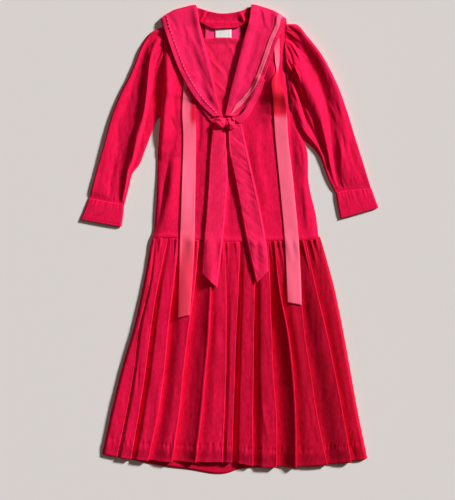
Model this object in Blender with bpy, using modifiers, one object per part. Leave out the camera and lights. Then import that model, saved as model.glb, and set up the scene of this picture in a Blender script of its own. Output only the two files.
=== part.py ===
"""A drop-waist dress with a sailor collar, laid flat on its back.

Metres, +Z up. X runs to the right as the front is seen, Y towards the neck,
and the dress lies on Z = 0. The tables are in millimetres, with one row for
each section or fold.
"""

import bmesh
import bpy
import numpy as np
from mathutils import Vector
from mathutils.bvhtree import BVHTree

MM = 0.001

# Walls and gaps
CLOTH = 1.4 * MM
DOUBLE_CLOTH = 1.8 * MM
SATIN = 1.0 * MM
LAYER_GAP = 0.35 * MM
SEAM_GAP = 0.8 * MM
WELD = 0.00001

# The collar's back flap lies lowest, on the trim that runs round it
FLAP_TOP = SATIN + LAYER_GAP + DOUBLE_CLOTH
SHOULDER_ROLL = 4.0 * MM
TRIM_INSET = 11 * MM
TRIM_WIDTH = 12 * MM

# A ribbon or tail is stiff enough to stand this far off a sharp fold
STIFF = 0.5 * MM

# Sleeve tubes
SLEEVE_EDGE = 4.4 * MM
ARMHOLE_REACH = 0.2
# Points of a tube's flat underside, as shares of its width from the outer edge
UNDERSIDE_SHARES = (0.94, 0.72, 0.5, 0.28, 0.06)
CUFF_HEIGHT = 6.4 * MM

# Shares of a half bodice's length over which it bends to the shoulder line and
# to the waist seam, and the same for the back, whose side edge starts at this y
SHOULDER_SHARE = 0.11
WAIST_SHARE = 0.12
BACK_SHOULDER_SHARE = 0.34
BACK_WAIST_SHARE = 0.26
SHOULDER_END_Y = 609

# How much fuller the front is low down: height, and the shares where it starts
# and ends growing
FRONT_FULLNESS = (1.5 * MM, 0.5, 0.8)

# Neck pieces: left x, right x, top y and bottom y, where they have them
STAND_SIDES = (-84, 49)
FACING = (-84, 46, 601, 552)
LABEL = (-40, 5, 584.5, 560)
# Folded tabs at the ends of the stand: place across, width, height
STAND_TABS = ((0.08, 0.06, 5.0), (0.92, 0.07, 6.0))
STAND_LOWER_LIFT = 1.0
# Ripples of the modesty panel: height, and turns across it and down it
DICKEY_RIPPLE = (0.8, 9, 14)

# A leaf's roll at its neck edge and its lifted rim: place across, width, height
LEAF_ROLL = (0.90, 0.22, 4.5)
LEAF_RIM = (0.0, 0.25, 2.0)
LEAF_ROLL_START = 0.35
LEAF_RIPPLE = (0.7, 4, 11)
SHOULDER_TURNS = (0.25, 0.5, 0.75)

# A tail's raised middle: height, width as a share, and where it is full
TAIL_MIDDLE = (1.2 * MM, 0.3, 0.2)

# Seam line of the low waist: x, y
WAIST = (
    (-217, -1),
    (-172, 1),
    (-83, -6),
    (-4, -10),
    (127, -7),
    (217, -5),
    (253, 0),
)

# Back neck and shoulder line: x, y
NECK = (
    (-191, 609),
    (-161, 630),
    (-127, 641),
    (-95, 647),
    (-60, 637),
    (-21, 630),
    (7, 632),
    (32, 637),
    (62, 648),
    (91, 642),
    (125, 630),
    (158, 609),
)

# Sections of the skirt's outline: place down it, left x, right x
SKIRT_SIDES = (
    (0.000, -217, 253),
    (0.228, -242, 292),
    (0.414, -267, 316),
    (0.600, -300, 337),
    (0.786, -328, 358),
    (1.000, -356, 385),
)
FOLD_PLACES = (0.0, 0.228, 0.414, 0.600, 0.786, 1.0)
# Folds are lower at the waist, and short gathers stand between them there
WAIST_FOLD = 0.30
FULL_FOLD_PLACE = 0.42
GATHER_HEIGHT = 2.0
GATHER_LENGTH = 0.14

# Hem of the front and of the back: share across, y
FRONT_HEM = (
    (0.00, -604),
    (0.06, -612),
    (0.18, -621),
    (0.35, -625),
    (0.49, -626),
    (0.57, -635),
    (0.74, -638),
    (0.94, -624),
    (1.00, -617),
)
BACK_HEM = (
    (0.00, -600),
    (0.06, -610),
    (0.17, -629),
    (0.32, -646),
    (0.485, -654),
    (0.51, -647),
    (0.60, -641),
    (0.74, -636),
    (0.94, -621),
    (1.00, -614),
)

# Folds of the front skirt, left to right: x of the fold's edge at the six places
# down the skirt, height of its crest and of its foot just to the right, and the
# share of the way to the next fold over which the cloth rises
SKIRT_FOLDS = (
    ((-209, -225, -253, -267, -287, -315), 9, 5, 0.6),
    ((-172, -202, -220, -235, -253, -276), 14, 4, 0.8),
    ((-139, -158, -172, -183, -199, -228), 16.5, 3, 0.85),
    ((-85, -99, -115, -129, -141, -161), 18, 0.4, 1),
    ((-46, -52, -57, -67, -78, -94), 20.5, 9.5, 0.4),
    ((-15, -10, -10, -11, -15, -20), 16, 12, 0.5),
    ((29, 24, 18, 14, 10, 6), 17.5, 0.8, 0.5),
    ((69, 69, 67, 66, 64, 65), 16, 3.5, 0.9),
    ((108, 113, 117, 122, 131, 131), 17.5, 0.6, 1),
    ((125, 141, 164, 178, 185, 186), 20.5, 10, 0.4),
    ((189, 199, 209, 227, 245, 273), 15, 2.5, 0.9),
    ((211, 242, 270, 294, 316, 340), 18, 4.5, 0.6),
)
# A fold falls from its crest to its foot within this reach of its edge, or
# within this share of the way to the next fold where the two lie close
FOLD_REACH = 5.0
CLOSE_FOLD_SHARE = 0.28
# The cloth's height at the left side edge, at the right one, and beside the right
LEFT_EDGE_HEIGHT = 1.5
RIGHT_EDGE_HEIGHT = 2.5
RIGHT_EDGE_ROLL = (8.0, 9.0)

# Front bodice: place down it, side x, y, then neck edge or middle x, y
BODICE_LEFT = (
    (0.00, -188, 607, -94, 645),
    (0.11, -185, 541, -80, 566),
    (0.22, -183, 471, -57, 488),
    (0.34, -185, 396, -38, 401),
    (0.45, -193, 337, -18, 334),
    (0.52, -197, 292, -17, 292),
    (0.60, -200, 247, -17, 247),
    (0.74, -202, 155, -15, 155),
    (0.88, -207, 65, -13, 65),
    (1.00, -217, 1, -7, -9),
)
BODICE_RIGHT = (
    (0.00, 160, 606, 61, 646),
    (0.11, 154, 541, 47, 566),
    (0.22, 158, 471, 22, 488),
    (0.34, 169, 396, 1, 401),
    (0.45, 179, 334, -18, 334),
    (0.52, 202, 292, -17, 292),
    (0.60, 216, 247, -17, 247),
    (0.74, 221, 155, -15, 155),
    (0.88, 241, 65, -13, 65),
    (1.00, 253, 0, -7, -9),
)
V_POINT = 0.45

# Creases of the front bodice: x at the top, y, x at the bottom, y, height, width
BODICE_CREASES = (
    (-170, 300, -172, 180, -3.0, 9),
    (-172, 180, -190, 20, -3.0, 9),
    (-186, 250, -188, 60, 4.0, 12),
    (-160, 340, -150, 300, -2.0, 8),
    (60, 330, 90, 40, 2.0, 40),
    (200, 230, 226, 30, 2.5, 16),
)

# Modesty panel behind the neck: place down it, left x, right x, y
DICKEY = (
    (0.00, -86, 53, 559),
    (0.30, -71, 36, 488),
    (0.66, -50, 12, 401),
    (0.93, -28, -8, 334),
    (1.00, -23, -11, 318),
)

# Loose lower edge of the collar stand inside the back neck: x, y
STAND_EDGE = (
    (-84, 606),
    (-69, 596),
    (-52, 587),
    (-18, 586),
    (6, 587),
    (24, 589),
    (38, 597),
    (49, 600),
)

# Collar leaves from the tip up to the shoulder: neck edge x, y, outer x, y
COLLAR_LEFT = (
    (-23, 342, -44, 339),
    (-36, 396, -80, 373),
    (-49, 457, -109, 411),
    (-60, 505, -140, 468),
    (-71, 547, -164, 530),
    (-80, 580, -177, 569),
    (-87, 613, -186, 594),
    (-93, 647, -191, 609),
)
COLLAR_RIGHT = (
    (-12, 342, 12, 339),
    (4, 415, 52, 376),
    (22, 485, 83, 419),
    (35, 538, 111, 488),
    (45, 574, 130, 543),
    (53, 602, 143, 573),
    (58, 627, 151, 592),
    (61, 648, 158, 609),
)

# Outer edge of the collar's back flap: x, y, and neck seam x that it runs from
FLAP_EDGE = (
    (-191, 609, -93),
    (-178, 560, -86),
    (-174, 508, -78),
    (-171, 456, -70),
    (-168, 404, -61),
    (-117, 404, -46),
    (-66, 404, -31),
    (-15, 404, -16),
    (36, 404, -1),
    (87, 404, 14),
    (138, 404, 29),
    (141, 456, 38),
    (144, 508, 46),
    (146, 560, 54),
    (158, 609, 61),
)

# Satin streamers: left x, y, right x, y
RIBBON_LEFT = (
    (-126, 454, -90, 454),
    (-133, 359, -95, 359),
    (-130, 275, -94, 275),
    (-134, 135, -96, 135),
    (-139, -5, -98, -5),
    (-141, -89, -102, -89),
    (-144, -223, -111, -215),
)
RIBBON_RIGHT = (
    (127, 558, 139, 558),
    (125, 513, 139, 513),
    (128, 474, 139, 471),
    (115, 440, 137, 436),
    (121, 387, 154, 387),
    (125, 331, 161, 331),
    (128, 275, 164, 275),
    (136, 191, 174, 191),
    (144, 107, 183, 107),
    (154, -5, 193, -5),
    (159, -117, 199, -117),
    (162, -180, 200, -187),
)

# Tie: the bands that come from under the collar, and the two tails
TIE_NECK_LEFT = (
    (-122, 415, -102, 429),
    (-94, 379, -74, 396),
    (-69, 348, -52, 362),
    (-50, 325, -38, 334),
)
TIE_NECK_RIGHT = (
    (82, 446, 99, 442),
    (67, 404, 86, 404),
    (51, 374, 70, 372),
    (37, 352, 56, 346),
    (24, 341, 42, 330),
    (10, 335, 28, 321),
)
TIE_TAIL_LEFT = (
    (-46, 318, -14, 318),
    (-55, 233, -9, 233),
    (-60, 152, -7, 152),
    (-66, 65, -13, 65),
    (-73, -19, -22, -27),
    (-77, -99, -36, -139),
)
TIE_TAIL_RIGHT = (
    (-4, 318, 33, 318),
    (-2, 247, 48, 247),
    (14, 169, 67, 163),
    (29, 89, 84, 85),
    (50, -19, 102, -19),
    (75, -125, 107, -92),
)
# The knot has two lumps: centre x, y, half width, half length, height
KNOT = (-38, 14, 335, 308)
KNOT_LUMPS = (
    (-26, 323, 15, 16, 9),
    (3, 321, 15, 17, 11),
)

# Sleeves from the armhole to the cuff: outer x, y, inner x, y, puff of the top
SLEEVE_LEFT = (
    (-192, 592, -195, 340, 9),
    (-223, 575, -202, 334, 13),
    (-246, 541, -210, 314, 14),
    (-262, 499, -219, 292, 14),
    (-280, 457, -227, 270, 13),
    (-304, 410, -238, 242, 12),
    (-330, 345, -251, 208, 11),
    (-351, 267, -272, 180, 10),
    (-371, 197, -280, 149, 9),
    (-386, 141, -289, 113, 7),
    (-393, 109, -295, 91, 5),
)
SLEEVE_RIGHT = (
    (163, 600, 182, 331, 9),
    (192, 597, 195, 309, 12),
    (216, 568, 207, 284, 14),
    (241, 538, 220, 270, 14),
    (262, 508, 232, 256, 13),
    (284, 468, 245, 239, 12),
    (307, 418, 255, 222, 11),
    (329, 356, 265, 197, 10),
    (351, 284, 276, 166, 9),
    (377, 202, 287, 144, 7),
    (397, 137, 296, 126, 5),
)
# Cuffs below their seam: outer x, y, inner x, y
CUFF_LEFT = (
    (-406, 79, -298, 60),
    (-417, 53, -302, 32),
)
CUFF_RIGHT = (
    (408, 109, 303, 89),
    (417, 86, 310, 55),
)

# Folds of the sleeves: place down and share across at three points, height,
# width towards the outer edge, width towards the inner edge
LEFT_SLEEVE_FOLDS = (
    ((0.00, 0.20), (0.18, 0.64), (0.45, 0.93), 9.0, 50, 13),
    ((0.12, 0.04), (0.36, 0.30), (0.93, 0.92), -6.0, 16, 16),
    ((0.30, 0.62), (0.55, 0.66), (0.95, 0.72), 3.0, 20, 20),
    ((0.40, 0.12), (0.65, 0.25), (0.95, 0.30), 3.0, 18, 24),
    ((0.00, 0.05), (0.06, 0.08), (0.14, 0.12), 5.0, 7, 7),
    ((0.00, 0.12), (0.06, 0.17), (0.14, 0.24), 4.0, 7, 7),
    ((0.05, 0.75), (0.16, 0.84), (0.30, 0.95), -3.0, 16, 16),
)
RIGHT_SLEEVE_FOLDS = (
    ((0.00, 0.02), (0.25, 0.11), (0.60, 0.32), -6.0, 16, 18),
    ((0.06, 0.22), (0.38, 0.35), (0.80, 0.89), 6.0, 18, 14),
    ((0.03, 0.45), (0.20, 0.57), (0.62, 0.81), -8.0, 16, 16),
    ((0.03, 0.86), (0.40, 0.85), (0.78, 0.90), 6.0, 14, 12),
    ((0.58, 0.58), (0.80, 0.68), (1.00, 0.80), -5.0, 12, 12),
    ((0.00, 0.06), (0.05, 0.07), (0.12, 0.06), 4.0, 7, 7),
    ((0.00, 0.13), (0.06, 0.15), (0.14, 0.17), 4.0, 7, 7),
    ((0.00, 0.30), (0.08, 0.33), (0.20, 0.38), 4.0, 9, 9),
    ((0.00, 0.62), (0.10, 0.66), (0.25, 0.70), 4.0, 12, 9),
)

# Colours, in linear light
CRIMSON = (0.72, 0.004, 0.06)
DEEP_CRIMSON = (0.52, 0.003, 0.035)
SATIN_PINK = (0.90, 0.07, 0.16)
LABEL_WHITE = (0.85, 0.84, 0.80)


class Curve:
    """A smooth curve through rows of values given at rising places."""

    def __init__(self, places, rows):
        self.places = np.asarray(places, float)
        self.rows = np.asarray(rows, float)
        self.slopes = np.gradient(self.rows, self.places, axis=0)

    def __call__(self, place):
        place = min(max(place, self.places[0]), self.places[-1])
        last = len(self.places) - 2
        index = int(min(max(np.searchsorted(self.places, place) - 1, 0), last))
        step = self.places[index + 1] - self.places[index]
        t = (place - self.places[index]) / step
        start = self.rows[index]
        end = self.rows[index + 1]
        leave = self.slopes[index] * step
        arrive = self.slopes[index + 1] * step
        bend = (2 * t**3 - 3 * t**2 + 1) * start + (3 * t**2 - 2 * t**3) * end
        return bend + (t**3 - 2 * t**2 + t) * leave + (t**3 - t**2) * arrive


def placed(table):
    """The curve of a table whose first column is the place."""
    rows = np.asarray(table, float)
    return Curve(rows[:, 0], rows[:, 1:])


def numbered(table):
    """The curve of a table whose rows are evenly spaced from 0 to 1."""
    rows = np.asarray(table, float)
    return Curve(np.linspace(0, 1, len(rows)), rows)


waist_line = placed(WAIST)
neck_line = placed(NECK)
skirt_sides = placed(SKIRT_SIDES)
stand_edge = placed(STAND_EDGE)


def smooth_step(value):
    value = min(max(value, 0.0), 1.0)
    return value * value * (3 - 2 * value)


def cloth(name, patches, wall, material, collection, outward=True):
    """One solid wall of cloth from grids of points, welded where they meet."""
    bm = bmesh.new()
    for points in patches:
        rows = points.shape[0] - 1
        columns = points.shape[1] - 1
        made = bmesh.ops.create_grid(bm, x_segments=columns, y_segments=rows, size=0.5)
        for vert in made["verts"]:
            column = round((vert.co.x + 0.5) * columns)
            row = round((0.5 - vert.co.y) * rows)
            vert.co = points[row, column]
    bmesh.ops.remove_doubles(bm, verts=bm.verts, dist=WELD)
    mesh = bpy.data.meshes.new(name)
    bm.to_mesh(mesh)
    bm.free()
    mesh.shade_smooth()
    mesh.materials.append(material)
    piece = bpy.data.objects.new(name, mesh)
    collection.objects.link(piece)
    shell = piece.modifiers.new("wall", "SOLIDIFY")
    shell.thickness = wall
    shell.offset = 1 if outward else -1
    return piece


def tree_of(piece):
    bpy.context.view_layer.update()
    return BVHTree.FromObject(piece, bpy.context.evaluated_depsgraph_get())


def tree_of_points(points):
    rows, columns = points.shape[:2]
    corners = [Vector(point) for point in points.reshape(-1, 3)]
    faces = []
    for row in range(rows - 1):
        for column in range(columns - 1):
            first = row * columns + column
            faces.append((first, first + 1, first + columns + 1, first + columns))
    return BVHTree.FromPolygons(corners, faces)


def top_at(x, y, below):
    """Height of the highest surface under a point, or of the floor."""
    height = -LAYER_GAP
    for tree in below:
        hit = tree.ray_cast(Vector((x, y, 1)), Vector((0, 0, -1)))
        if hit[0] is not None:
            height = max(height, hit[0].z)
    return height


def resting(plan, columns, rows, below, soften=2):
    """Plan points of a grid, and the height at which each clears what is below."""
    spots = np.zeros((rows + 1, columns + 1, 2))
    heights = np.zeros((rows + 1, columns + 1))
    near = np.linspace(-1, 1, 9)
    for row in range(rows + 1):
        for column in range(columns + 1):
            spots[row, column] = plan(column / columns, row / rows)
            for side in near:
                for down in near:
                    across = (column + side) / columns
                    place = (row + down) / rows
                    x, y = plan(min(max(across, -0.1), 1.1), min(max(place, 0), 1))
                    heights[row, column] = max(heights[row, column], top_at(x, y, below) + LAYER_GAP)
    for _ in range(soften):
        wide = np.pad(heights, 1, mode="edge")
        mean = (wide[:-2, 1:-1] + wide[2:, 1:-1] + wide[1:-1, :-2] + wide[1:-1, 2:]) / 4
        heights = np.maximum(heights, mean)
    return spots, heights


def draped(plan, lift, columns, rows, below, soften=2):
    """Points of a sheet that lies on what is below and rises by its folds."""
    spots, heights = resting(plan, columns, rows, below, soften)
    points = np.zeros((rows + 1, columns + 1, 3))
    for row in range(rows + 1):
        for column in range(columns + 1):
            x, y = spots[row, column]
            z = heights[row, column] + lift(column / columns, row / rows)
            points[row, column] = (x, y, z)
    return points


def between_edges(curve):
    """A plan that runs straight between the two edge points of each section."""

    def plan(across, place):
        ax, ay, bx, by = curve(place)[:4] * MM
        return ax + (bx - ax) * across, ay + (by - ay) * across

    return plan


def flat(across, place):
    return 0.0


def stiff(across, place):
    return STIFF


def hill(distance, width):
    return float(np.exp(-((distance / width) ** 2)))


def make_material(name, colour, roughness):
    material = bpy.data.materials.new(name)
    material.use_nodes = True
    shader = material.node_tree.nodes["Principled BSDF"]
    shader.inputs["Base Color"].default_value = (*colour, 1)
    shader.inputs["Roughness"].default_value = roughness
    shader.inputs["Metallic"].default_value = 0.0
    material.diffuse_color = (*colour, 1)
    return material


# Skirt


def skirt_plan(hem_table, x_of):
    hem = placed(hem_table)

    def plan(across, place):
        x = x_of(across, place)
        left, right = skirt_sides(0.0)
        top = waist_line(left + (right - left) * across)[0] * MM - SEAM_GAP / 2
        bottom = hem(across)[0] * MM
        return x, top + (bottom - top) * place

    return plan


def straight_across(across, place):
    left, right = skirt_sides(place) * MM
    return left + (right - left) * across


class FoldLines:
    """Lines down the front skirt at which its folds rise and fall."""

    def __init__(self):
        sides = np.array(SKIRT_SIDES, float)
        roll, roll_height = RIGHT_EDGE_ROLL
        edges = [np.array(fold[0], float) for fold in SKIRT_FOLDS]
        edges.append(sides[:, 2] - roll)
        crests = [fold[1] for fold in SKIRT_FOLDS] + [roll_height]
        rows = [(sides[:, 1], LEFT_EDGE_HEIGHT)]
        for number, (_, crest, foot, rise_share) in enumerate(SKIRT_FOLDS):
            edge, ahead = edges[number], edges[number + 1]
            reach = np.minimum(FOLD_REACH, (ahead - edge) * CLOSE_FOLD_SHARE)
            shoulder = edge + reach + (ahead - edge - 2 * reach) * (0.15 + 0.75 * rise_share)
            rows.append((edge - reach, crest))
            rows.append((edge + reach, foot))
            rows.append((shoulder, foot + (crests[number + 1] - foot) * 0.88))
        rows.append((edges[-1], roll_height))
        rows.append((sides[:, 2], RIGHT_EDGE_HEIGHT))
        self.lines = [Curve(FOLD_PLACES, x[:, None]) for x, _ in rows]
        self.heights = [height for _, height in rows]
        self.spans = len(rows) - 1

    def x(self, across, place):
        index = min(int(across * self.spans + 1e-6), self.spans - 1)
        share = across * self.spans - index
        left = self.lines[index](place)[0]
        right = self.lines[index + 1](place)[0]
        return (left + (right - left) * share) * MM

    def lift(self, across, place):
        index = min(int(across * self.spans + 1e-6), self.spans - 1)
        turn = across * self.spans - index
        share = smooth_step(turn)
        height = self.heights[index] * (1 - share) + self.heights[index + 1] * share
        growth = WAIST_FOLD + (1 - WAIST_FOLD) * smooth_step(place / FULL_FOLD_PLACE)
        gather = GATHER_HEIGHT * np.sin(np.pi * turn) * smooth_step(1 - place / GATHER_LENGTH)
        return (height * growth + gather) * MM


# Bodice


def bodice_half(table):
    """A plan from the side edge to the neck edge, ended on the waist seam."""
    curve = placed(table)

    def plan(across, place):
        sx, sy, nx, ny = curve(place)
        x = sx + (nx - sx) * across
        y = sy + (ny - sy) * across
        y += (waist_line(x)[0] - y) * smooth_step((place - 1) / WAIST_SHARE + 1)
        shoulder = neck_line(x)[0] - y
        y += shoulder * smooth_step(1 - place / SHOULDER_SHARE)
        gap = SEAM_GAP / 2 * smooth_step((place - 1) / WAIST_SHARE + 1)
        return x * MM, y * MM + gap

    return plan


def crease_lift(x, y):
    """Height of the bodice's creases at a point in metres."""
    height = 0.0
    point = np.array((x, y)) / MM
    for top_x, top_y, low_x, low_y, rise, width in BODICE_CREASES:
        start = np.array((top_x, top_y), float)
        run = np.array((low_x, low_y), float) - start
        share = float(np.dot(point - start, run) / np.dot(run, run))
        nearest = start + run * min(max(share, 0), 1)
        height += rise * hill(np.linalg.norm(point - nearest), width)
    return height * MM


def front_lift(plan):
    def lift(across, place):
        x, y = plan(across, place)
        height, start, end = FRONT_FULLNESS
        fuller = height * smooth_step((place - start) / (end - start))
        return max(crease_lift(x, y) + fuller, 0.0)

    return lift


def back_plan(across, place):
    left = placed(BODICE_LEFT)
    right = placed(BODICE_RIGHT)
    left_x, left_y = left(place)[:2]
    right_x, right_y = right(place)[:2]
    x = left_x + (right_x - left_x) * across
    side_y = left_y + (right_y - left_y) * across
    top = neck_line(x)[0]
    bottom = waist_line(x)[0] + SEAM_GAP / 2 / MM
    upper = smooth_step(1 - place / BACK_SHOULDER_SHARE)
    lower = smooth_step((place - 1) / BACK_WAIST_SHARE + 1)
    y = side_y + (top - SHOULDER_END_Y) * upper + (bottom - side_y) * lower
    return x * MM, y * MM


# Neck


def stand_plan(across, place):
    left, right = STAND_SIDES
    x = left + (right - left) * across
    top = neck_line(x)[0] - 2
    bottom = stand_edge(x)[0]
    return x * MM, (top + (bottom - top) * place) * MM


def stand_lift(across, place):
    tabs = sum(height * hill(across - at, width) for at, width, height in STAND_TABS)
    return (tabs + STAND_LOWER_LIFT * place) * MM


def rectangle(left, right, top, bottom):
    """A plan that fills a rectangle given in millimetres."""

    def plan(across, place):
        return (left + (right - left) * across) * MM, (top + (bottom - top) * place) * MM

    return plan


def dickey_plan(across, place):
    left, right, y = placed(DICKEY)(place)
    return (left + (right - left) * across) * MM, y * MM


def dickey_lift(across, place):
    height, across_turn, down_turn = DICKEY_RIPPLE
    wave = 0.5 + 0.5 * float(np.sin(across_turn * across + down_turn * place))
    return height * MM * wave * (1 - place)


# Collar


def leaf_plan(table):
    """A plan of a collar leaf: across from its outer edge to the neck edge."""
    curve = numbered(table)

    def plan(across, place):
        nx, ny, ox, oy = curve(place)
        x = ox + (nx - ox) * across
        y = oy + (ny - oy) * across
        y += (neck_line(x)[0] - y) * smooth_step((place - 0.8) / 0.2)
        return x * MM, y * MM

    return plan


def leaf_lift(across, place):
    """The leaf rolls over the neck edge and stands a little off at its rim."""
    roll_at, roll_width, roll_height = LEAF_ROLL
    rim_at, rim_width, rim_height = LEAF_RIM
    ripple_height, across_turn, down_turn = LEAF_RIPPLE
    roll = roll_height * hill(across - roll_at, roll_width) * smooth_step(place / LEAF_ROLL_START)
    rim = rim_height * hill(across - rim_at, rim_width)
    ripple = ripple_height * (1 + float(np.sin(down_turn * place + across_turn * across)))
    return (roll + rim + ripple) * MM


def leaf_points(table, below, columns, rows):
    """Rows run from the outer edge to the neck edge, columns from tip to shoulder."""
    plan = leaf_plan(table)

    def turned(across, place):
        return plan(place, across)

    def lift(across, place):
        return leaf_lift(place, across)

    return draped(turned, lift, columns, rows, below)


def flap_points(rows):
    """The back flap, flat, with its columns round from shoulder to shoulder."""
    points = np.zeros((rows + 1, len(FLAP_EDGE), 3))
    for column, (edge_x, edge_y, seam_x) in enumerate(FLAP_EDGE):
        edge = np.array((edge_x, edge_y), float)
        seam = np.array((seam_x, neck_line(seam_x)[0] - 3))
        first_or_last = column in (0, len(FLAP_EDGE) - 1)
        for row in range(rows + 1):
            x, y = edge + (seam - edge) * row / rows
            if first_or_last:
                y = neck_line(x)[0]
            points[row, column] = (x * MM, y * MM, FLAP_TOP)
    return points


def roll_points(upper, lower):
    """Three columns that roll over the shoulder from the leaf to the flap."""
    columns = []
    for turn in SHOULDER_TURNS:
        middle = (upper + lower) / 2
        half = (upper[:, 2] - lower[:, 2]) / 2
        column = middle.copy()
        column[:, 1] = upper[:, 1] + SHOULDER_ROLL * np.sin(np.pi * turn)
        column[:, 2] = middle[:, 2] + half * np.cos(np.pi * turn)
        columns.append(column)
    return np.stack(columns, axis=1)


def collar_points(below, rows=6, columns=12):
    left = leaf_points(COLLAR_LEFT, below, columns, rows)
    right = leaf_points(COLLAR_RIGHT, below, columns, rows)[:, ::-1]
    flap = flap_points(rows)
    over_left = roll_points(left[:, -1], flap[:, 0])
    over_right = roll_points(right[:, 0], flap[:, -1])[:, ::-1]
    return np.concatenate((left, over_left, flap, over_right, right), axis=1)


def outward_normals(points):
    down = np.gradient(points, axis=0)
    along = np.gradient(points, axis=1)
    normals = np.cross(down, along)
    return normals / np.linalg.norm(normals, axis=2, keepdims=True)


def trim_points(collar, widths=2):
    """The trim, from the collar's own points, moved out from its face."""
    normals = outward_normals(collar)
    faces = collar + normals * (DOUBLE_CLOTH + LAYER_GAP)
    count = collar.shape[1]
    points = np.zeros((widths + 1, count - 2, 3))
    for column in range(1, count - 1):
        edge = faces[0, column]
        length = np.linalg.norm(faces[-1, column] - edge)
        for row in range(widths + 1):
            inset = min(TRIM_INSET, length * 0.2) + TRIM_WIDTH * row / widths
            place = inset / length * (collar.shape[0] - 1)
            index = min(int(place), collar.shape[0] - 2)
            share = place - index
            low = faces[index, column]
            points[row, column - 1] = low + (faces[index + 1, column] - low) * share
    return points


# Tie


def knot_lift(across, place):
    x, y = rectangle(*KNOT)(across, place)
    height = 0.0
    for centre_x, centre_y, half_width, half_length, rise in KNOT_LUMPS:
        far = ((x / MM - centre_x) / half_width) ** 2 + ((y / MM - centre_y) / half_length) ** 2
        height = max(height, rise * max(1 - far, 0) ** 0.5)
    return height * MM


def tail_lift(across, place):
    height, width, full_at = TAIL_MIDDLE
    return height * hill(across - 0.5, width) * smooth_step(place / full_at)


# Sleeves


def fold_curve(fold):
    places = [point[0] for point in fold[:3]]
    shares = np.array([[point[1]] for point in fold[:3]])
    return Curve(places, shares)


def armhole_x(side_table, y, outward):
    """X of the bodice's side edge at a height, and a seam's gap out from it."""
    side = np.asarray(side_table, float)[::-1]
    return float(np.interp(y, side[:, 2], side[:, 1])) + outward * SEAM_GAP / MM


def sleeve_points(table, folds, side_table, outward, rows=20, over=18):
    """A flattened tube: over its top from edge to edge, then back beneath."""
    curve = numbered(table)
    first = curve(0.0)

    def spot(outer, inner, share, place):
        x, y = outer + (inner - outer) * share
        seam_y = first[1] + (first[3] - first[1]) * share
        seam_x = first[0] + (first[2] - first[0]) * share
        pull = armhole_x(side_table, seam_y, outward) - seam_x
        return (x + pull * smooth_step(1 - place / ARMHOLE_REACH)) * MM, y * MM

    lines = [(fold_curve(fold), fold) for fold in folds]
    points = np.zeros((rows + 1, over + len(UNDERSIDE_SHARES) + 2, 3))
    for row in range(rows + 1):
        place = row / rows
        ox, oy, ix, iy, puff = curve(place)
        outer = np.array((ox, oy))
        inner = np.array((ix, iy))
        width = np.linalg.norm(inner - outer)
        ring = []
        for share in np.linspace(0, 1, over + 1):
            rise = puff * np.sin(np.pi * share) ** 0.6
            for line, fold in lines:
                fade = smooth_step((place - fold[0][0] + 0.08) / 0.08)
                fade *= smooth_step((fold[2][0] + 0.08 - place) / 0.08)
                offset = (share - line(place)[0]) * width
                reach = fold[5] if offset > 0 else fold[4]
                rise += fold[3] * fade * hill(offset, reach) * np.sin(np.pi * share) ** 0.3
            at_edge = share in (0, 1)
            height = SLEEVE_EDGE / 2 if at_edge else SLEEVE_EDGE + max(rise, 0) * MM
            ring.append((*spot(outer, inner, share, place), height))
        for share in UNDERSIDE_SHARES:
            ring.append((*spot(outer, inner, share, place), 0.0))
        ring.append(ring[0])
        if outward > 0:
            ring = ring[::-1]
        points[row] = ring
    return points


def cuff_points(table, sleeve_table, outward, rows=3, over=10):
    seam = np.array(sleeve_table[-1][:4], float)
    seam[[1, 3]] -= SEAM_GAP / 2 / MM
    curve = numbered((tuple(seam), *table))
    points = np.zeros((rows + 1, over + len(UNDERSIDE_SHARES) + 2, 3))
    for row in range(rows + 1):
        ox, oy, ix, iy = curve(row / rows) * MM
        outer = np.array((ox, oy))
        inner = np.array((ix, iy))
        ring = []
        for share in np.linspace(0, 1, over + 1):
            top = CUFF_HEIGHT + 0.8 * MM * np.sin(np.pi * share)
            height = CUFF_HEIGHT / 2 if share in (0, 1) else top
            ring.append((*(outer + (inner - outer) * share), height))
        for share in UNDERSIDE_SHARES:
            ring.append((*(outer + (inner - outer) * share), 0.0))
        ring.append(ring[0])
        if outward > 0:
            ring = ring[::-1]
        points[row] = ring
    return points


def clear_scene():
    for thing in list(bpy.data.objects):
        bpy.data.objects.remove(thing, do_unlink=True)


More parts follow.
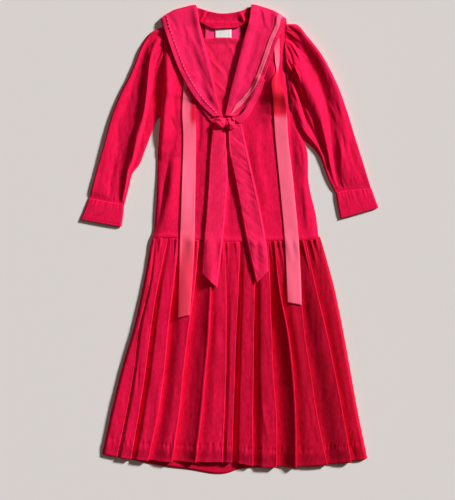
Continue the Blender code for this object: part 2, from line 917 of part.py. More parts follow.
def build_dress():
    clear_scene()
    parts = bpy.data.collections.new("drop_waist_sailor_dress")
    bpy.context.scene.collection.children.link(parts)
    crimson = make_material("crimson needlecord", CRIMSON, 0.85)
    deep = make_material("needlecord seen inside", DEEP_CRIMSON, 0.9)
    satin = make_material("pink satin ribbon", SATIN_PINK, 0.35)
    white = make_material("white label", LABEL_WHITE, 0.7)

    # Back: the flap's height is needed before the whole collar is made
    flap = tree_of_points(flap_points(6))
    back = cloth(
        "bodice_back", [draped(back_plan, flat, 16, 18, [flap])], CLOTH, deep, parts
    )
    on_back = [tree_of(back)]
    skirt_back = cloth(
        "skirt_back",
        [draped(skirt_plan(BACK_HEM, straight_across), flat, 24, 8, [])],
        CLOTH,
        deep,
        parts,
    )

    # Neck
    facing = cloth(
        "neck_facing", [draped(rectangle(*FACING), flat, 8, 3, on_back)], SATIN, satin, parts
    )
    on_facing = on_back + [tree_of(facing)]
    label = cloth("neck_label", [draped(rectangle(*LABEL), flat, 4, 2, on_facing)], SATIN, white, parts)
    stand = cloth(
        "collar_stand", [draped(stand_plan, stand_lift, 14, 3, on_facing)], CLOTH, crimson, parts
    )
    dickey = cloth(
        "dickey", [draped(dickey_plan, dickey_lift, 8, 12, on_facing)], CLOTH, crimson, parts
    )
    in_neck = on_facing + [tree_of(label), tree_of(stand), tree_of(dickey)]

    # Front
    left_plan = bodice_half(BODICE_LEFT)
    right_plan = bodice_half(BODICE_RIGHT)
    left = draped(left_plan, front_lift(left_plan), 9, 22, in_neck)
    right = draped(right_plan, front_lift(right_plan), 9, 22, in_neck)
    for row in range(23):
        if row / 22 >= V_POINT:
            meet = (left[row, -1] + right[row, -1]) / 2
            meet[2] = max(left[row, -1, 2], right[row, -1, 2])
            left[row, -1] = meet
            right[row, -1] = meet
    front = cloth("bodice_front", [left, right[:, ::-1]], CLOTH, crimson, parts)
    folds = FoldLines()
    skirt_front = cloth(
        "skirt_front",
        [
            draped(
                skirt_plan(FRONT_HEM, folds.x),
                folds.lift,
                folds.spans * 2,
                14,
                [tree_of(skirt_back)],
                soften=0,
            )
        ],
        CLOTH,
        crimson,
        parts,
    )
    on_front = [tree_of(front), tree_of(skirt_front)]

    # Sleeves
    cloth(
        "sleeve_left",
        [sleeve_points(SLEEVE_LEFT, LEFT_SLEEVE_FOLDS, BODICE_LEFT, -1)],
        CLOTH,
        crimson,
        parts,
        outward=False,
    )
    cloth(
        "sleeve_right",
        [sleeve_points(SLEEVE_RIGHT, RIGHT_SLEEVE_FOLDS, BODICE_RIGHT, 1)],
        CLOTH,
        crimson,
        parts,
        outward=False,
    )
    cloth("cuff_left", [cuff_points(CUFF_LEFT, SLEEVE_LEFT, -1)], CLOTH, crimson, parts, outward=False)
    cloth("cuff_right", [cuff_points(CUFF_RIGHT, SLEEVE_RIGHT, 1)], CLOTH, crimson, parts, outward=False)

    # Streamers and tie
    streamers = []
    for name, table, rows in (
        ("ribbon_left", RIBBON_LEFT, 22),
        ("ribbon_right", RIBBON_RIGHT, 24),
    ):
        points = draped(between_edges(numbered(table)), stiff, 3, rows, on_front)
        streamers.append(tree_of(cloth(name, [points], SATIN, satin, parts)))
    bands = []
    for name, table, rows in (
        ("tie_band_left", TIE_NECK_LEFT, 6),
        ("tie_band_right", TIE_NECK_RIGHT, 8),
    ):
        points = draped(between_edges(numbered(table)), flat, 3, rows, on_front + streamers)
        bands.append(tree_of(cloth(name, [points], DOUBLE_CLOTH, crimson, parts)))
    for name, table in (
        ("tie_tail_left", TIE_TAIL_LEFT),
        ("tie_tail_right", TIE_TAIL_RIGHT),
    ):
        points = draped(between_edges(numbered(table)), tail_lift, 4, 16, on_front)
        bands.append(tree_of(cloth(name, [points], DOUBLE_CLOTH, crimson, parts)))
    cloth(
        "tie_knot",
        [draped(rectangle(*KNOT), knot_lift, 12, 6, on_front + bands)],
        DOUBLE_CLOTH,
        crimson,
        parts,
    )

    # Collar, over everything at the neck
    under_collar = in_neck + on_front + streamers + bands
    collar = collar_points(under_collar)
    cloth("sailor_collar", [collar], DOUBLE_CLOTH, crimson, parts)
    cloth("collar_trim", [trim_points(collar)], SATIN, satin, parts)


build_dress()
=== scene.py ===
"""The drop-waist sailor dress, finished and lit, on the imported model's frame.

The tables are in millimetres, with one row for each section, fold or crease.
X runs to the right as the front is seen, Y towards the neck, and the dress
lies on Z = 0.
"""

import math

import bmesh
import bpy
import numpy as np
from mathutils import Matrix, Vector


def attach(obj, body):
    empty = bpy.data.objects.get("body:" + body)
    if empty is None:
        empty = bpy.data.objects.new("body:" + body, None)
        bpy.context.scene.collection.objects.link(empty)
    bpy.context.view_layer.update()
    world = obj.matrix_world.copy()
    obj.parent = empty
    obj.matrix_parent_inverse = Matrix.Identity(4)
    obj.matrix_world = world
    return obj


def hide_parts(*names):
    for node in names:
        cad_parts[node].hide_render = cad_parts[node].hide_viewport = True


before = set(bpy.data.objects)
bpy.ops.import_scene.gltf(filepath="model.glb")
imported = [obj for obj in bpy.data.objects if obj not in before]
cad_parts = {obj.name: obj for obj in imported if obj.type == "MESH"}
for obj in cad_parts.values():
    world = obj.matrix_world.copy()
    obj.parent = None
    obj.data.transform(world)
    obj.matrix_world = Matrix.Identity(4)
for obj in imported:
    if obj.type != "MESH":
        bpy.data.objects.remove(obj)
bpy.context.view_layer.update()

MM = 0.001

# Walls, gaps and other sizes in millimetres, and places as shares of a length
CLOTH = 1.4
DOUBLE_CLOTH = 1.8
SATIN = 1.0
EDGING_WALL = 0.5
LAYER_GAP = 0.35
SEAM_GAP = 0.8

# Waist seam and skirt
SEAM_HEIGHT = 7.2
SEAM_TUCK = 5.0
TUCKED_HEIGHT = 2.4
FOLD_REACH = 0.35
CREST_EASE = 3.4
EDGE_ROLL = 8.0
SKIRT_LENGTH = 620
HEM_LINE = 0.925

# Sleeves and cuffs
SLEEVE_EDGE = 4.4
SLEEVE_LEAST = 3.2
SLEEVE_END = 3.9
ARMHOLE_REACH = 0.2
UNDERARM_LAP = 9.0
CUFF_HEIGHT = 6.4
CUFF_TUCK = 3.0

# Collar and tie, with their rows of points
COLLAR_ROWS = 56
TRIM_ROWS = 9
FLAP_TOP = SATIN + LAYER_GAP + DOUBLE_CLOTH
SHOULDER = 609
SHOULDER_ROLL = 4.0
TRIM_INSET = 11
TRIM_WIDTH = 12
EDGING_INSET = 12
EDGING_WIDTH = 6.5
EDGING_PITCH = 11.0
TAIL_WIDTH = 46
TAIL_LENGTH = 430

# Spacing of the cloth's ribs and of the label's threads, in metres
RIB_PITCH = 0.0019
LABEL_PITCH = 0.0012

# Camera and floor, in metres, but for the sensor
CAMERA_HEIGHT = 4.5
SENSOR = 24
FRAME_LENGTH = 1.4
FRAME_CENTRE = (-0.0056, -0.0328)
FLOOR_SIZE = 4
FLOOR_DROP = 0.0004

# Seam line of the low waist: x, y
WAIST = (
    (-217, -1),
    (-172, 1),
    (-83, -6),
    (-4, -10),
    (127, -7),
    (217, -5),
    (253, 0),
)

# Back neck and shoulder line: x, y
NECK = (
    (-191, 609),
    (-161, 630),
    (-127, 641),
    (-95, 647),
    (-60, 637),
    (-21, 630),
    (7, 632),
    (32, 637),
    (62, 648),
    (91, 642),
    (125, 630),
    (158, 609),
)

# Sections of the skirt's outline: place down it, left x, right x
SKIRT_SIDES = (
    (0.000, -217, 253),
    (0.228, -242, 292),
    (0.414, -267, 316),
    (0.600, -300, 337),
    (0.786, -328, 358),
    (1.000, -356, 385),
)
FOLD_PLACES = [place for place, _, _ in SKIRT_SIDES]
# Folds are lower at the waist, and short gathers stand between them there
WAIST_FOLD = 0.26
FULL_FOLD_PLACE = 0.36

# Hem of the front and of the back: share across, y
FRONT_HEM = (
    (0.00, -604),
    (0.06, -612),
    (0.18, -621),
    (0.35, -625),
    (0.49, -626),
    (0.57, -635),
    (0.74, -638),
    (0.94, -624),
    (1.00, -617),
)
BACK_HEM = (
    (0.00, -600),
    (0.06, -610),
    (0.17, -629),
    (0.32, -646),
    (0.485, -654),
    (0.51, -647),
    (0.60, -641),
    (0.74, -636),
    (0.94, -621),
    (1.00, -614),
)

# Folds of the front skirt, left to right: x of the fold's edge at the six places
# down the skirt, height of its crest and of its foot just to the right, and the
# share of the way to the next fold over which the cloth rises
SKIRT_FOLDS = (
    ((-209, -225, -253, -267, -287, -315), 9, 5, 0.2),
    ((-172, -202, -220, -235, -253, -276), 14, 4, 0.3),
    ((-139, -158, -172, -183, -199, -228), 16.5, 3, 0.7),
    ((-85, -99, -115, -129, -141, -161), 18, 0.4, 1),
    ((-46, -52, -57, -67, -78, -94), 20.5, 9.5, 0.4),
    ((-15, -10, -10, -11, -15, -20), 16, 12, 0.5),
    ((29, 24, 18, 14, 10, 6), 17.5, 0.8, 0.3),
    ((69, 69, 67, 66, 64, 65), 16, 3.5, 0.4),
    ((108, 113, 117, 122, 131, 131), 17.5, 0.6, 1),
    ((125, 141, 164, 178, 185, 186), 20.5, 6, 0.5),
    ((189, 199, 209, 227, 245, 273), 15, 2.5, 0.8),
    ((211, 242, 270, 294, 316, 340), 18, 2, 0.6),
)

# Front bodice: place down it, side x, y, then neck edge or middle x, y
BODICE_LEFT = (
    (0.00, -188, 607, -94, 645),
    (0.11, -185, 541, -80, 566),
    (0.22, -183, 471, -57, 488),
    (0.34, -185, 396, -38, 401),
    (0.45, -193, 337, -18, 334),
    (0.52, -197, 292, -17, 292),
    (0.60, -200, 247, -17, 247),
    (0.74, -202, 155, -15, 155),
    (0.88, -207, 65, -13, 65),
    (1.00, -217, 1, -7, -9),
)
BODICE_RIGHT = (
    (0.00, 160, 606, 61, 646),
    (0.11, 154, 541, 47, 566),
    (0.22, 158, 471, 22, 488),
    (0.34, 169, 396, 1, 401),
    (0.45, 179, 334, -18, 334),
    (0.52, 202, 292, -17, 292),
    (0.60, 216, 247, -17, 247),
    (0.74, 221, 155, -15, 155),
    (0.88, 241, 65, -13, 65),
    (1.00, 253, 0, -7, -9),
)
V_POINT = 0.45

# Modesty panel behind the neck: place down it, left x, right x, y
DICKEY = (
    (0.00, -86, 53, 559),
    (0.30, -71, 36, 488),
    (0.66, -50, 12, 401),
    (0.93, -28, -8, 334),
    (1.00, -23, -11, 318),
)

# Neck facing and label: left x, right x, bottom y, top y
NECK_FACING = (-68, 32, 552, 601)
NECK_LABEL = (-40, 5, 560, 584.5)

# Collar stand inside the back neck: its ends' x, and its loose lower edge: x, y
STAND_ENDS = (-92, 51)
STAND_EDGE = (
    (-84, 606),
    (-69, 596),
    (-52, 587),
    (-18, 586),
    (6, 587),
    (24, 589),
    (38, 597),
    (49, 600),
)

# Collar leaves from the tip up to the shoulder: neck edge x, y, outer x, y
COLLAR_LEFT = (
    (-23, 342, -44, 339),
    (-36, 396, -80, 373),
    (-49, 457, -109, 411),
    (-60, 505, -140, 468),
    (-71, 547, -164, 530),
    (-80, 580, -177, 569),
    (-87, 613, -186, 594),
    (-93, 647, -191, 609),
)
COLLAR_RIGHT = (
    (-12, 342, 12, 339),
    (4, 415, 52, 376),
    (22, 485, 83, 419),
    (35, 538, 111, 488),
    (45, 574, 130, 543),
    (53, 602, 143, 573),
    (58, 627, 151, 592),
    (61, 648, 158, 609),
)

# Outer edge of the collar's back flap: x, y, and neck seam x that it runs from
FLAP_EDGE = (
    (-191, 609, -93),
    (-178, 560, -86),
    (-174, 508, -78),
    (-171, 456, -70),
    (-168, 404, -61),
    (-117, 404, -46),
    (-66, 404, -31),
    (-15, 404, -16),
    (36, 404, -1),
    (87, 404, 14),
    (138, 404, 29),
    (141, 456, 38),
    (144, 508, 46),
    (146, 560, 54),
    (158, 609, 61),
)

# Satin streamers: left x, y, right x, y
RIBBON_LEFT = (
    (-126, 454, -90, 454),
    (-133, 359, -95, 359),
    (-130, 275, -94, 275),
    (-134, 135, -96, 135),
    (-139, -5, -98, -5),
    (-141, -89, -102, -89),
    (-144, -223, -111, -215),
)
RIBBON_RIGHT = (
    (126, 558, 139, 558),
    (125, 526, 140, 526),
    (127, 494, 139, 494),
    (130, 466, 136, 464),
    (117, 440, 141, 436),
    (118, 404, 152, 404),
    (121, 370, 158, 370),
    (124, 331, 161, 331),
    (128, 275, 164, 275),
    (136, 191, 174, 191),
    (144, 107, 183, 107),
    (154, -5, 193, -5),
    (159, -117, 199, -117),
    (162, -180, 200, -187),
)

# Tie: the bands that come from under the collar, and the two tails
TIE_NECK_LEFT = (
    (-122, 415, -102, 429),
    (-94, 379, -74, 396),
    (-69, 348, -52, 362),
    (-50, 325, -38, 334),
)
TIE_NECK_RIGHT = (
    (82, 446, 99, 442),
    (67, 404, 86, 404),
    (51, 374, 70, 372),
    (37, 352, 56, 346),
    (24, 341, 42, 330),
    (10, 335, 28, 321),
)
TIE_TAIL_LEFT = (
    (-46, 318, -14, 318),
    (-55, 233, -9, 233),
    (-60, 152, -7, 152),
    (-66, 65, -13, 65),
    (-73, -19, -22, -27),
    (-77, -99, -36, -139),
)
TIE_TAIL_RIGHT = (
    (-4, 318, 33, 318),
    (-2, 247, 48, 247),
    (14, 169, 67, 163),
    (29, 89, 84, 85),
    (50, -19, 102, -19),
    (75, -125, 107, -92),
)
# The knot: left x, right x, bottom y, top y, and its two lumps: centre x, y,
# half width, half length, height
KNOT = (-38, 14, 308, 335)
KNOT_LUMPS = (
    (-26, 323, 15, 16, 9),
    (3, 321, 15, 17, 11),
)

# Sleeves from the armhole to the cuff: outer x, y, inner x, y
SLEEVE_LEFT = (
    (-192, 592, -195, 340),
    (-223, 575, -202, 334),
    (-246, 541, -210, 314),
    (-262, 499, -219, 292),
    (-280, 457, -227, 270),
    (-304, 410, -238, 242),
    (-330, 345, -251, 208),
    (-351, 267, -272, 180),
    (-371, 197, -280, 149),
    (-386, 141, -289, 113),
    (-393, 109, -295, 91),
)
SLEEVE_RIGHT = (
    (163, 600, 182, 331),
    (192, 597, 195, 309),
    (216, 568, 207, 284),
    (241, 538, 220, 270),
    (262, 508, 232, 256),
    (284, 468, 245, 239),
    (307, 418, 255, 222),
    (329, 356, 265, 197),
    (351, 284, 276, 166),
    (377, 202, 287, 144),
    (397, 137, 296, 126),
)
# Cuffs below their seam: outer x, y, inner x, y
CUFF_LEFT = (
    (-406, 79, -298, 60),
    (-417, 53, -302, 32),
)
CUFF_RIGHT = (
    (408, 109, 303, 89),
    (417, 86, 310, 55),
)

# How the flattened sleeves rise and fall: place down the sleeve, then share
# across and height for the rim, the hollow, half way up, the ridge, its foot
# and the inside
LEFT_SLEEVE_FORM = (
    (0.00, 0.05, 8.0, 0.08, 7.0, 0.11, 8.5, 0.15, 9.0, 0.38, 9.0, 0.60, 3.8),
    (0.06, 0.03, 7.5, 0.06, 6.0, 0.10, 9.0, 0.17, 14, 0.42, 7.0, 0.60, 3.4),
    (0.12, 0.03, 7.5, 0.07, 5.5, 0.15, 9.0, 0.27, 18, 0.53, 3.5, 0.90, 3.4),
    (0.20, 0.04, 8.5, 0.10, 5.5, 0.31, 9.5, 0.49, 21, 0.68, 3.3, 0.95, 3.4),
    (0.30, 0.04, 9.0, 0.13, 5.0, 0.43, 10, 0.63, 23, 0.75, 3.3, 0.96, 3.5),
    (0.40, 0.04, 9.5, 0.18, 4.5, 0.50, 10, 0.69, 22, 0.79, 3.6, 0.96, 4.0),
    (0.50, 0.04, 9.5, 0.25, 4.5, 0.57, 9.5, 0.745, 21, 0.84, 4.5, 0.97, 5.5),
    (0.60, 0.04, 9.5, 0.33, 4.2, 0.63, 9.0, 0.805, 19, 0.89, 4.5, 0.97, 5.0),
    (0.70, 0.04, 9.5, 0.48, 4.0, 0.72, 8.0, 0.875, 17, 0.94, 4.5, 0.97, 5.0),
    (0.80, 0.04, 8.5, 0.62, 4.0, 0.79, 7.5, 0.905, 14, 0.95, 4.5, 0.97, 5.0),
    (0.90, 0.04, 8.5, 0.78, 4.0, 0.86, 6.0, 0.92, 9.0, 0.95, 4.5, 0.97, 5.0),
    (1.00, 0.04, 7.0, 0.84, 4.5, 0.90, 5.5, 0.93, 6.0, 0.96, 4.5, 0.98, 5.0),
)
# The same for the right one: rim, plateau, hollow, ridge, hollow, inside
RIGHT_SLEEVE_FORM = (
    (0.00, 0.02, 7.0, 0.05, 8.0, 0.12, 6.0, 0.35, 12, 0.50, 7.0, 0.80, 9.0),
    (0.06, 0.02, 10, 0.04, 11.5, 0.13, 6.0, 0.41, 16, 0.55, 6.0, 0.80, 11),
    (0.12, 0.02, 11, 0.04, 13, 0.18, 5.5, 0.46, 19, 0.62, 5.0, 0.85, 12),
    (0.20, 0.02, 11, 0.04, 14, 0.20, 4.5, 0.49, 20, 0.77, 5.0, 0.88, 12),
    (0.30, 0.02, 12, 0.04, 15, 0.24, 4.5, 0.54, 20, 0.83, 5.0, 0.92, 12),
    (0.40, 0.02, 12, 0.05, 16, 0.29, 4.5, 0.57, 19, 0.85, 4.5, 0.93, 11),
    (0.50, 0.02, 11, 0.06, 16, 0.38, 4.5, 0.66, 18, 0.865, 5.0, 0.94, 9.0),
    (0.60, 0.02, 10, 0.08, 15, 0.50, 5.5, 0.74, 16, 0.88, 5.0, 0.95, 8.0),
    (0.70, 0.02, 9.0, 0.22, 13, 0.66, 6.0, 0.80, 13, 0.90, 5.5, 0.96, 7.5),
    (0.80, 0.02, 8.0, 0.50, 13, 0.76, 5.0, 0.86, 9.0, 0.92, 6.0, 0.97, 6.5),
    (0.90, 0.02, 7.5, 0.58, 11, 0.82, 5.0, 0.88, 7.0, 0.93, 6.0, 0.97, 6.0),
    (1.00, 0.02, 7.0, 0.60, 7.5, 0.82, 5.0, 0.88, 6.0, 0.93, 5.5, 0.97, 5.5),
)

# Creases: x, y at three points along each, its rise, and its width to the left
# (or below) and to the right (or above)
KNOT_CREASES = (
    (-36, 330, -26, 322, -16, 312, -2.0, 2, 2.5),
    (-30, 334, -20, 328, -12, 322, 1.5, 2, 2.5),
    (-8, 334, -4, 322, -2, 310, -2.5, 2, 2),
    (2, 332, 8, 324, 14, 318, -1.6, 2, 2.5),
    (-2, 318, 6, 316, 13, 312, 1.4, 2, 2),
)

STAND_CREASES = (
    (-66, 633, -74, 621, -85, 608, 3.5, 3, 3),
    (-60, 632, -70, 618, -80, 604, -3, 3, 4),
    (30, 631, 40, 613, 49, 598, 7, 9, 2.5),
)
BODICE_CREASES = (
    (-164, 261, -178, 155, -203, 18, -3, 5, 12),
    (-154, 236, -165, 130, -193, 16, 12, 15, 30),
    (-165, 340, -161, 326, -153, 306, -2.5, 4, 4),
    (-182, 540, -179, 410, -192, 247, 14.5, 4, 22),
    (-195, 205, -200, 107, -209, 29, 3, 5, 8),
    (124, 500, 122, 415, 116, 340, 14, 24, 10),
    (169, 415, 172, 247, 186, 51, -3, 6, 14),
    (206, 155, 211, 93, 220, 12, 3, 4, 12),
    (189, 258, 195, 225, 203, 186, 2.2, 8, 4),
    (200, 275, 209, 219, 214, 163, 2.5, 6, 7),
    (-122, 275, -127, 135, -130, 1, 1.6, 10, 16),
    (-64, 290, -68, 163, -74, 6, 1.4, 16, 8),
    (57, 303, 91, 163, 108, 6, 2, 22, 14),
    (-4, 298, 1, 177, -4, 6, -3, 10, 10),
    (38, 275, 57, 135, 80, 1, -1.6, 12, 14),
    (-150, 429, -144, 373, -136, 303, 2, 8, 10),
    (-85, 359, -83, 303, -88, 247, -2.5, 9, 6),
    (80, 331, 74, 247, 91, 135, 1.4, 14, 8),
)
# How a leaf lies: height and width of the roll at its neck edge, then of its rim
LEFT_LEAF_FORM = (1.8, 0.08, 6.0, 0.6)
RIGHT_LEAF_FORM = (4.5, 0.2, 2.4, 0.25)
LEFT_LEAF_CREASES = (
    (-175, 628, -161, 606, -144, 580, -1.5, 4, 6),
    (-139, 617, -122, 566, -122, 538, -1.4, 7, 6),
    (-130, 600, -91, 527, -66, 466, 2, 12, 6),
    (-111, 555, -88, 482, -49, 410, -1.3, 8, 9),
    (-94, 628, -85, 583, -74, 544, 1.2, 5, 4),
    (-150, 572, -127, 516, -99, 460, -1, 6, 8),
    (-66, 432, -49, 398, -35, 365, 1.2, 5, 5),
)
RIGHT_LEAF_CREASES = (
    (77, 653, 83, 631, 91, 606, -1.8, 3, 4),
    (91, 648, 97, 625, 102, 594, 1.6, 4, 4),
    (108, 645, 116, 620, 113, 589, -1.6, 4, 4),
    (125, 634, 133, 611, 133, 589, 1.4, 3, 3),
    (63, 639, 52, 600, 38, 555, 1.2, 5, 5),
    (80, 583, 63, 527, 46, 482, -1, 8, 10),
    (63, 482, 41, 443, 18, 398, 1.2, 8, 6),
    (91, 566, 77, 510, 52, 449, 0.9, 9, 7),
)
DICKEY_CREASES = (
    (-57, 505, -38, 482, -15, 457, 1.2, 4, 4),
    (-43, 443, -27, 424, -7, 404, 1.1, 4, 4),
    (-69, 544, -49, 522, -38, 499, -0.9, 4, 5),
    (-10, 550, 7, 527, 18, 499, 1, 5, 5),
    (-29, 494, -10, 466, -1, 432, -0.9, 4, 5),
)
LEFT_SLEEVE_CREASES = (
    (-186, 580, -203, 566, -220, 544, -3, 2.5, 3),
    (-181, 561, -200, 552, -217, 536, 3, 3, 4),
    (-183, 544, -200, 536, -211, 522, -2.6, 2.5, 3),
    (-195, 586, -209, 578, -223, 561, 2.5, 3, 4),
    (-186, 527, -197, 510, -206, 488, -2.2, 3, 3),
    (-178, 550, -183, 527, -195, 499, 2.4, 3, 4),
    (-223, 538, -228, 516, -234, 488, 2.6, 4, 4),
    (-211, 516, -217, 494, -225, 471, -2.6, 3, 3),
    (-255, 320, -265, 256, -273, 194, 2.2, 4, 4),
    (-262, 247, -260, 228, -270, 197, -1.8, 3, 3),
    (-323, 202, -335, 163, -333, 118, -1.8, 5, 7),
    (-307, 247, -315, 191, -315, 130, 1.2, 6, 5),
    (-351, 247, -360, 191, -371, 135, -0.8, 7, 7),
    (-335, 331, -349, 275, -360, 219, 0.9, 8, 8),
    (-368, 118, -363, 104, -365, 90, -1.2, 3, 3),
    (-346, 118, -343, 102, -346, 85, -1, 3, 3),
    (-326, 113, -323, 99, -326, 85, -1, 3, 3),
    (-309, 118, -308, 102, -309, 88, -1, 3, 3),
)
RIGHT_SLEEVE_CREASES = (
    (158, 597, 178, 583, 197, 564, -6, 3, 3),
    (155, 580, 175, 569, 195, 552, 5, 3, 3),
    (158, 561, 175, 550, 195, 527, -6, 3, 4),
    (158, 538, 172, 513, 178, 482, -5, 3, 3),
    (169, 550, 186, 522, 200, 494, 4, 3, 3),
    (164, 494, 181, 468, 165, 442, -8, 3, 3),
    (178, 482, 192, 454, 200, 421, 4, 3, 3),
    (158, 499, 164, 482, 175, 466, 5, 3, 3),
    (172, 443, 181, 410, 195, 376, 5, 6, 3),
    (197, 421, 206, 387, 220, 354, -3, 3, 3),
    (161, 432, 164, 404, 172, 376, -3, 3, 3),
    (189, 510, 203, 513, 217, 505, 1.2, 3, 3),
    (197, 499, 211, 496, 223, 488, -1.2, 3, 3),
    (167, 600, 181, 583, 192, 555, 1.8, 3, 3),
    (206, 376, 225, 331, 259, 250, 3, 4, 4),
    (192, 337, 220, 292, 253, 253, -2, 3, 3),
    (276, 379, 290, 354, 301, 320, 1.4, 4, 4),
    (293, 387, 304, 354, 312, 326, -1.4, 4, 4),
    (312, 303, 318, 272, 323, 242, -1.6, 4, 5),
    (298, 309, 309, 253, 326, 197, 1.3, 6, 5),
    (332, 275, 343, 230, 357, 186, -1.2, 6, 6),
    (365, 186, 374, 158, 379, 132, -1.8, 3, 4),
    (349, 174, 357, 152, 360, 130, 1.2, 3, 3),
    (326, 152, 332, 138, 332, 121, -1.2, 2.5, 2.5),
    (309, 146, 312, 132, 312, 118, 1, 3, 3),
    (259, 247, 273, 219, 287, 191, 1.6, 3, 3),
)
SKIRT_CREASES = (
    (-251, -327, -255, -383, -258, -439, -1.6, 3, 4),
    (-284, -173, -295, -285, -312, -397, 0.9, 10, 10),
    (-223, -173, -231, -257, -242, -341, 1, 6, 6),
    (-195, -397, -203, -481, -217, -565, 1.1, 5, 5),
    (-150, -509, -161, -565, -172, -626, -1.2, 4, 4),
    (-41, -397, -46, -481, -49, -565, 0.8, 5, 5),
    (91, -453, 97, -509, 108, -565, 1.2, 4, 4),
    (220, -425, 231, -495, 248, -565, 0.9, 5, 5),
    (298, -397, 315, -467, 337, -542, 0.9, 6, 6),
    (332, -554, 343, -587, 354, -626, -1.2, 4, 5),
)

# Short gathers under the waist seam: share across
GATHERS = (
    *(0.056, 0.151, 0.24, 0.27, 0.341, 0.418, 0.448, 0.501, 0.608),
    *(0.65, 0.697, 0.727, 0.757, 0.804, 0.852, 0.893, 0.941, 0.97),
)


def part_way(start, end, share):
    return start + (end - start) * share


def bend(t, start, end, leave, arrive):
    """The smooth way from start to end that has a given slope at each."""
    level = (2 * t**3 - 3 * t**2 + 1) * start + (3 * t**2 - 2 * t**3) * end
    return level + (t**3 - 2 * t**2 + t) * leave + (t**3 - t**2) * arrive


class Curve:
    """Smooth curves through rows of values given at rising places."""

    def __init__(self, places, rows):
        self.places = np.asarray(places, float)
        self.rows = np.asarray(rows, float).reshape(len(self.places), -1)
        self.slopes = np.gradient(self.rows, self.places, axis=0)

    def __call__(self, place):
        place = np.clip(np.asarray(place, float), self.places[0], self.places[-1])
        last = len(self.places) - 2
        index = np.clip(np.searchsorted(self.places, place) - 1, 0, last)
        step = (self.places[index + 1] - self.places[index])[..., None]
        t = (place - self.places[index])[..., None] / step
        leave = self.slopes[index] * step
        arrive = self.slopes[index + 1] * step
        values = bend(t, self.rows[index], self.rows[index + 1], leave, arrive)
        return np.moveaxis(values, -1, 0)


def placed(table):
    rows = np.asarray(table, float)
    return Curve(rows[:, 0], rows[:, 1:])


def numbered(table):
    rows = np.asarray(table, float)
    return Curve(np.linspace(0, 1, len(rows)), rows)


waist_line = placed(WAIST)
neck_line = placed(NECK)
skirt_sides = placed(SKIRT_SIDES)
stand_edge = placed(STAND_EDGE)


def smooth_step(value):
    value = np.clip(value, 0, 1)
    return value * value * (3 - 2 * value)


def hill(distance, width):
    return np.exp(-((distance / width) ** 2))


def shares(columns, rows):
    """Share across and share down for each point of a grid."""
    return np.meshgrid(np.linspace(0, 1, columns + 1), np.linspace(0, 1, rows + 1))


def eased(stops, heights, at):
    """A smooth profile through heights at rising stops, without overshoot."""
    gaps = np.maximum(np.diff(stops), 1e-6)
    steps = np.diff(heights) / gaps
    slopes = np.zeros(len(stops))
    before, after = steps[:-1], steps[1:]
    same = before * after > 0
    total = np.where(same, before + after, 1)
    slopes[1:-1] = np.where(same, 2 * before * after / total, 0)
    index = np.clip(np.searchsorted(stops, at) - 1, 0, len(stops) - 2)
    t = np.clip((at - stops[index]) / gaps[index], 0, 1)
    leave, arrive = slopes[index] * gaps[index], slopes[index + 1] * gaps[index]
    return bend(t, heights[index], heights[index + 1], leave, arrive)


def between_four(values, rows, columns, down, across):
    """A value between four of a grid, at its near and far rows and columns."""
    near = values[rows[0], columns[0]] * (1 - across) + values[rows[0], columns[1]] * across
    far = values[rows[1], columns[0]] * (1 - across) + values[rows[1], columns[1]] * across
    return near * (1 - down) + far * down


def drift(across, along, seed):
    """Uneven waviness from -1 to 1, with about one swell in each unit."""
    span = 64
    swells = np.random.RandomState(seed).uniform(-1, 1, (span, span))
    column, row = np.floor(across).astype(int), np.floor(along).astype(int)
    columns, rows = (column % span, (column + 1) % span), (row % span, (row + 1) % span)
    u, v = smooth_step(across - column), smooth_step(along - row)
    return between_four(swells, rows, columns, v, u)


def creased(x, y, creases):
    """Height that the creases of a table add at each point."""
    total = np.zeros_like(x)
    for ax, ay, bx, by, cx, cy, rise, left, right in creases:
        nearest = np.full(x.shape, 1e9)
        side = np.zeros_like(x)
        share = np.zeros_like(x)
        for half, (px, py, qx, qy) in enumerate(((ax, ay, bx, by), (bx, by, cx, cy))):
            run_x, run_y = qx - px, qy - py
            t = ((x - px) * run_x + (y - py) * run_y) / (run_x**2 + run_y**2)
            t = np.clip(t, 0, 1)
            far = np.hypot(x - px - run_x * t, y - py - run_y * t)
            closer = far < nearest
            turn = run_x * (y - py) - run_y * (x - px)
            nearest = np.where(closer, far, nearest)
            side = np.where(closer, turn, side)
            share = np.where(closer, (half + t) / 2, share)
        width = np.where(side < 0, left, right)
        total += rise * np.sin(np.pi * np.clip(share, 0.04, 0.96)) ** 0.6 * hill(nearest, width)
    return total


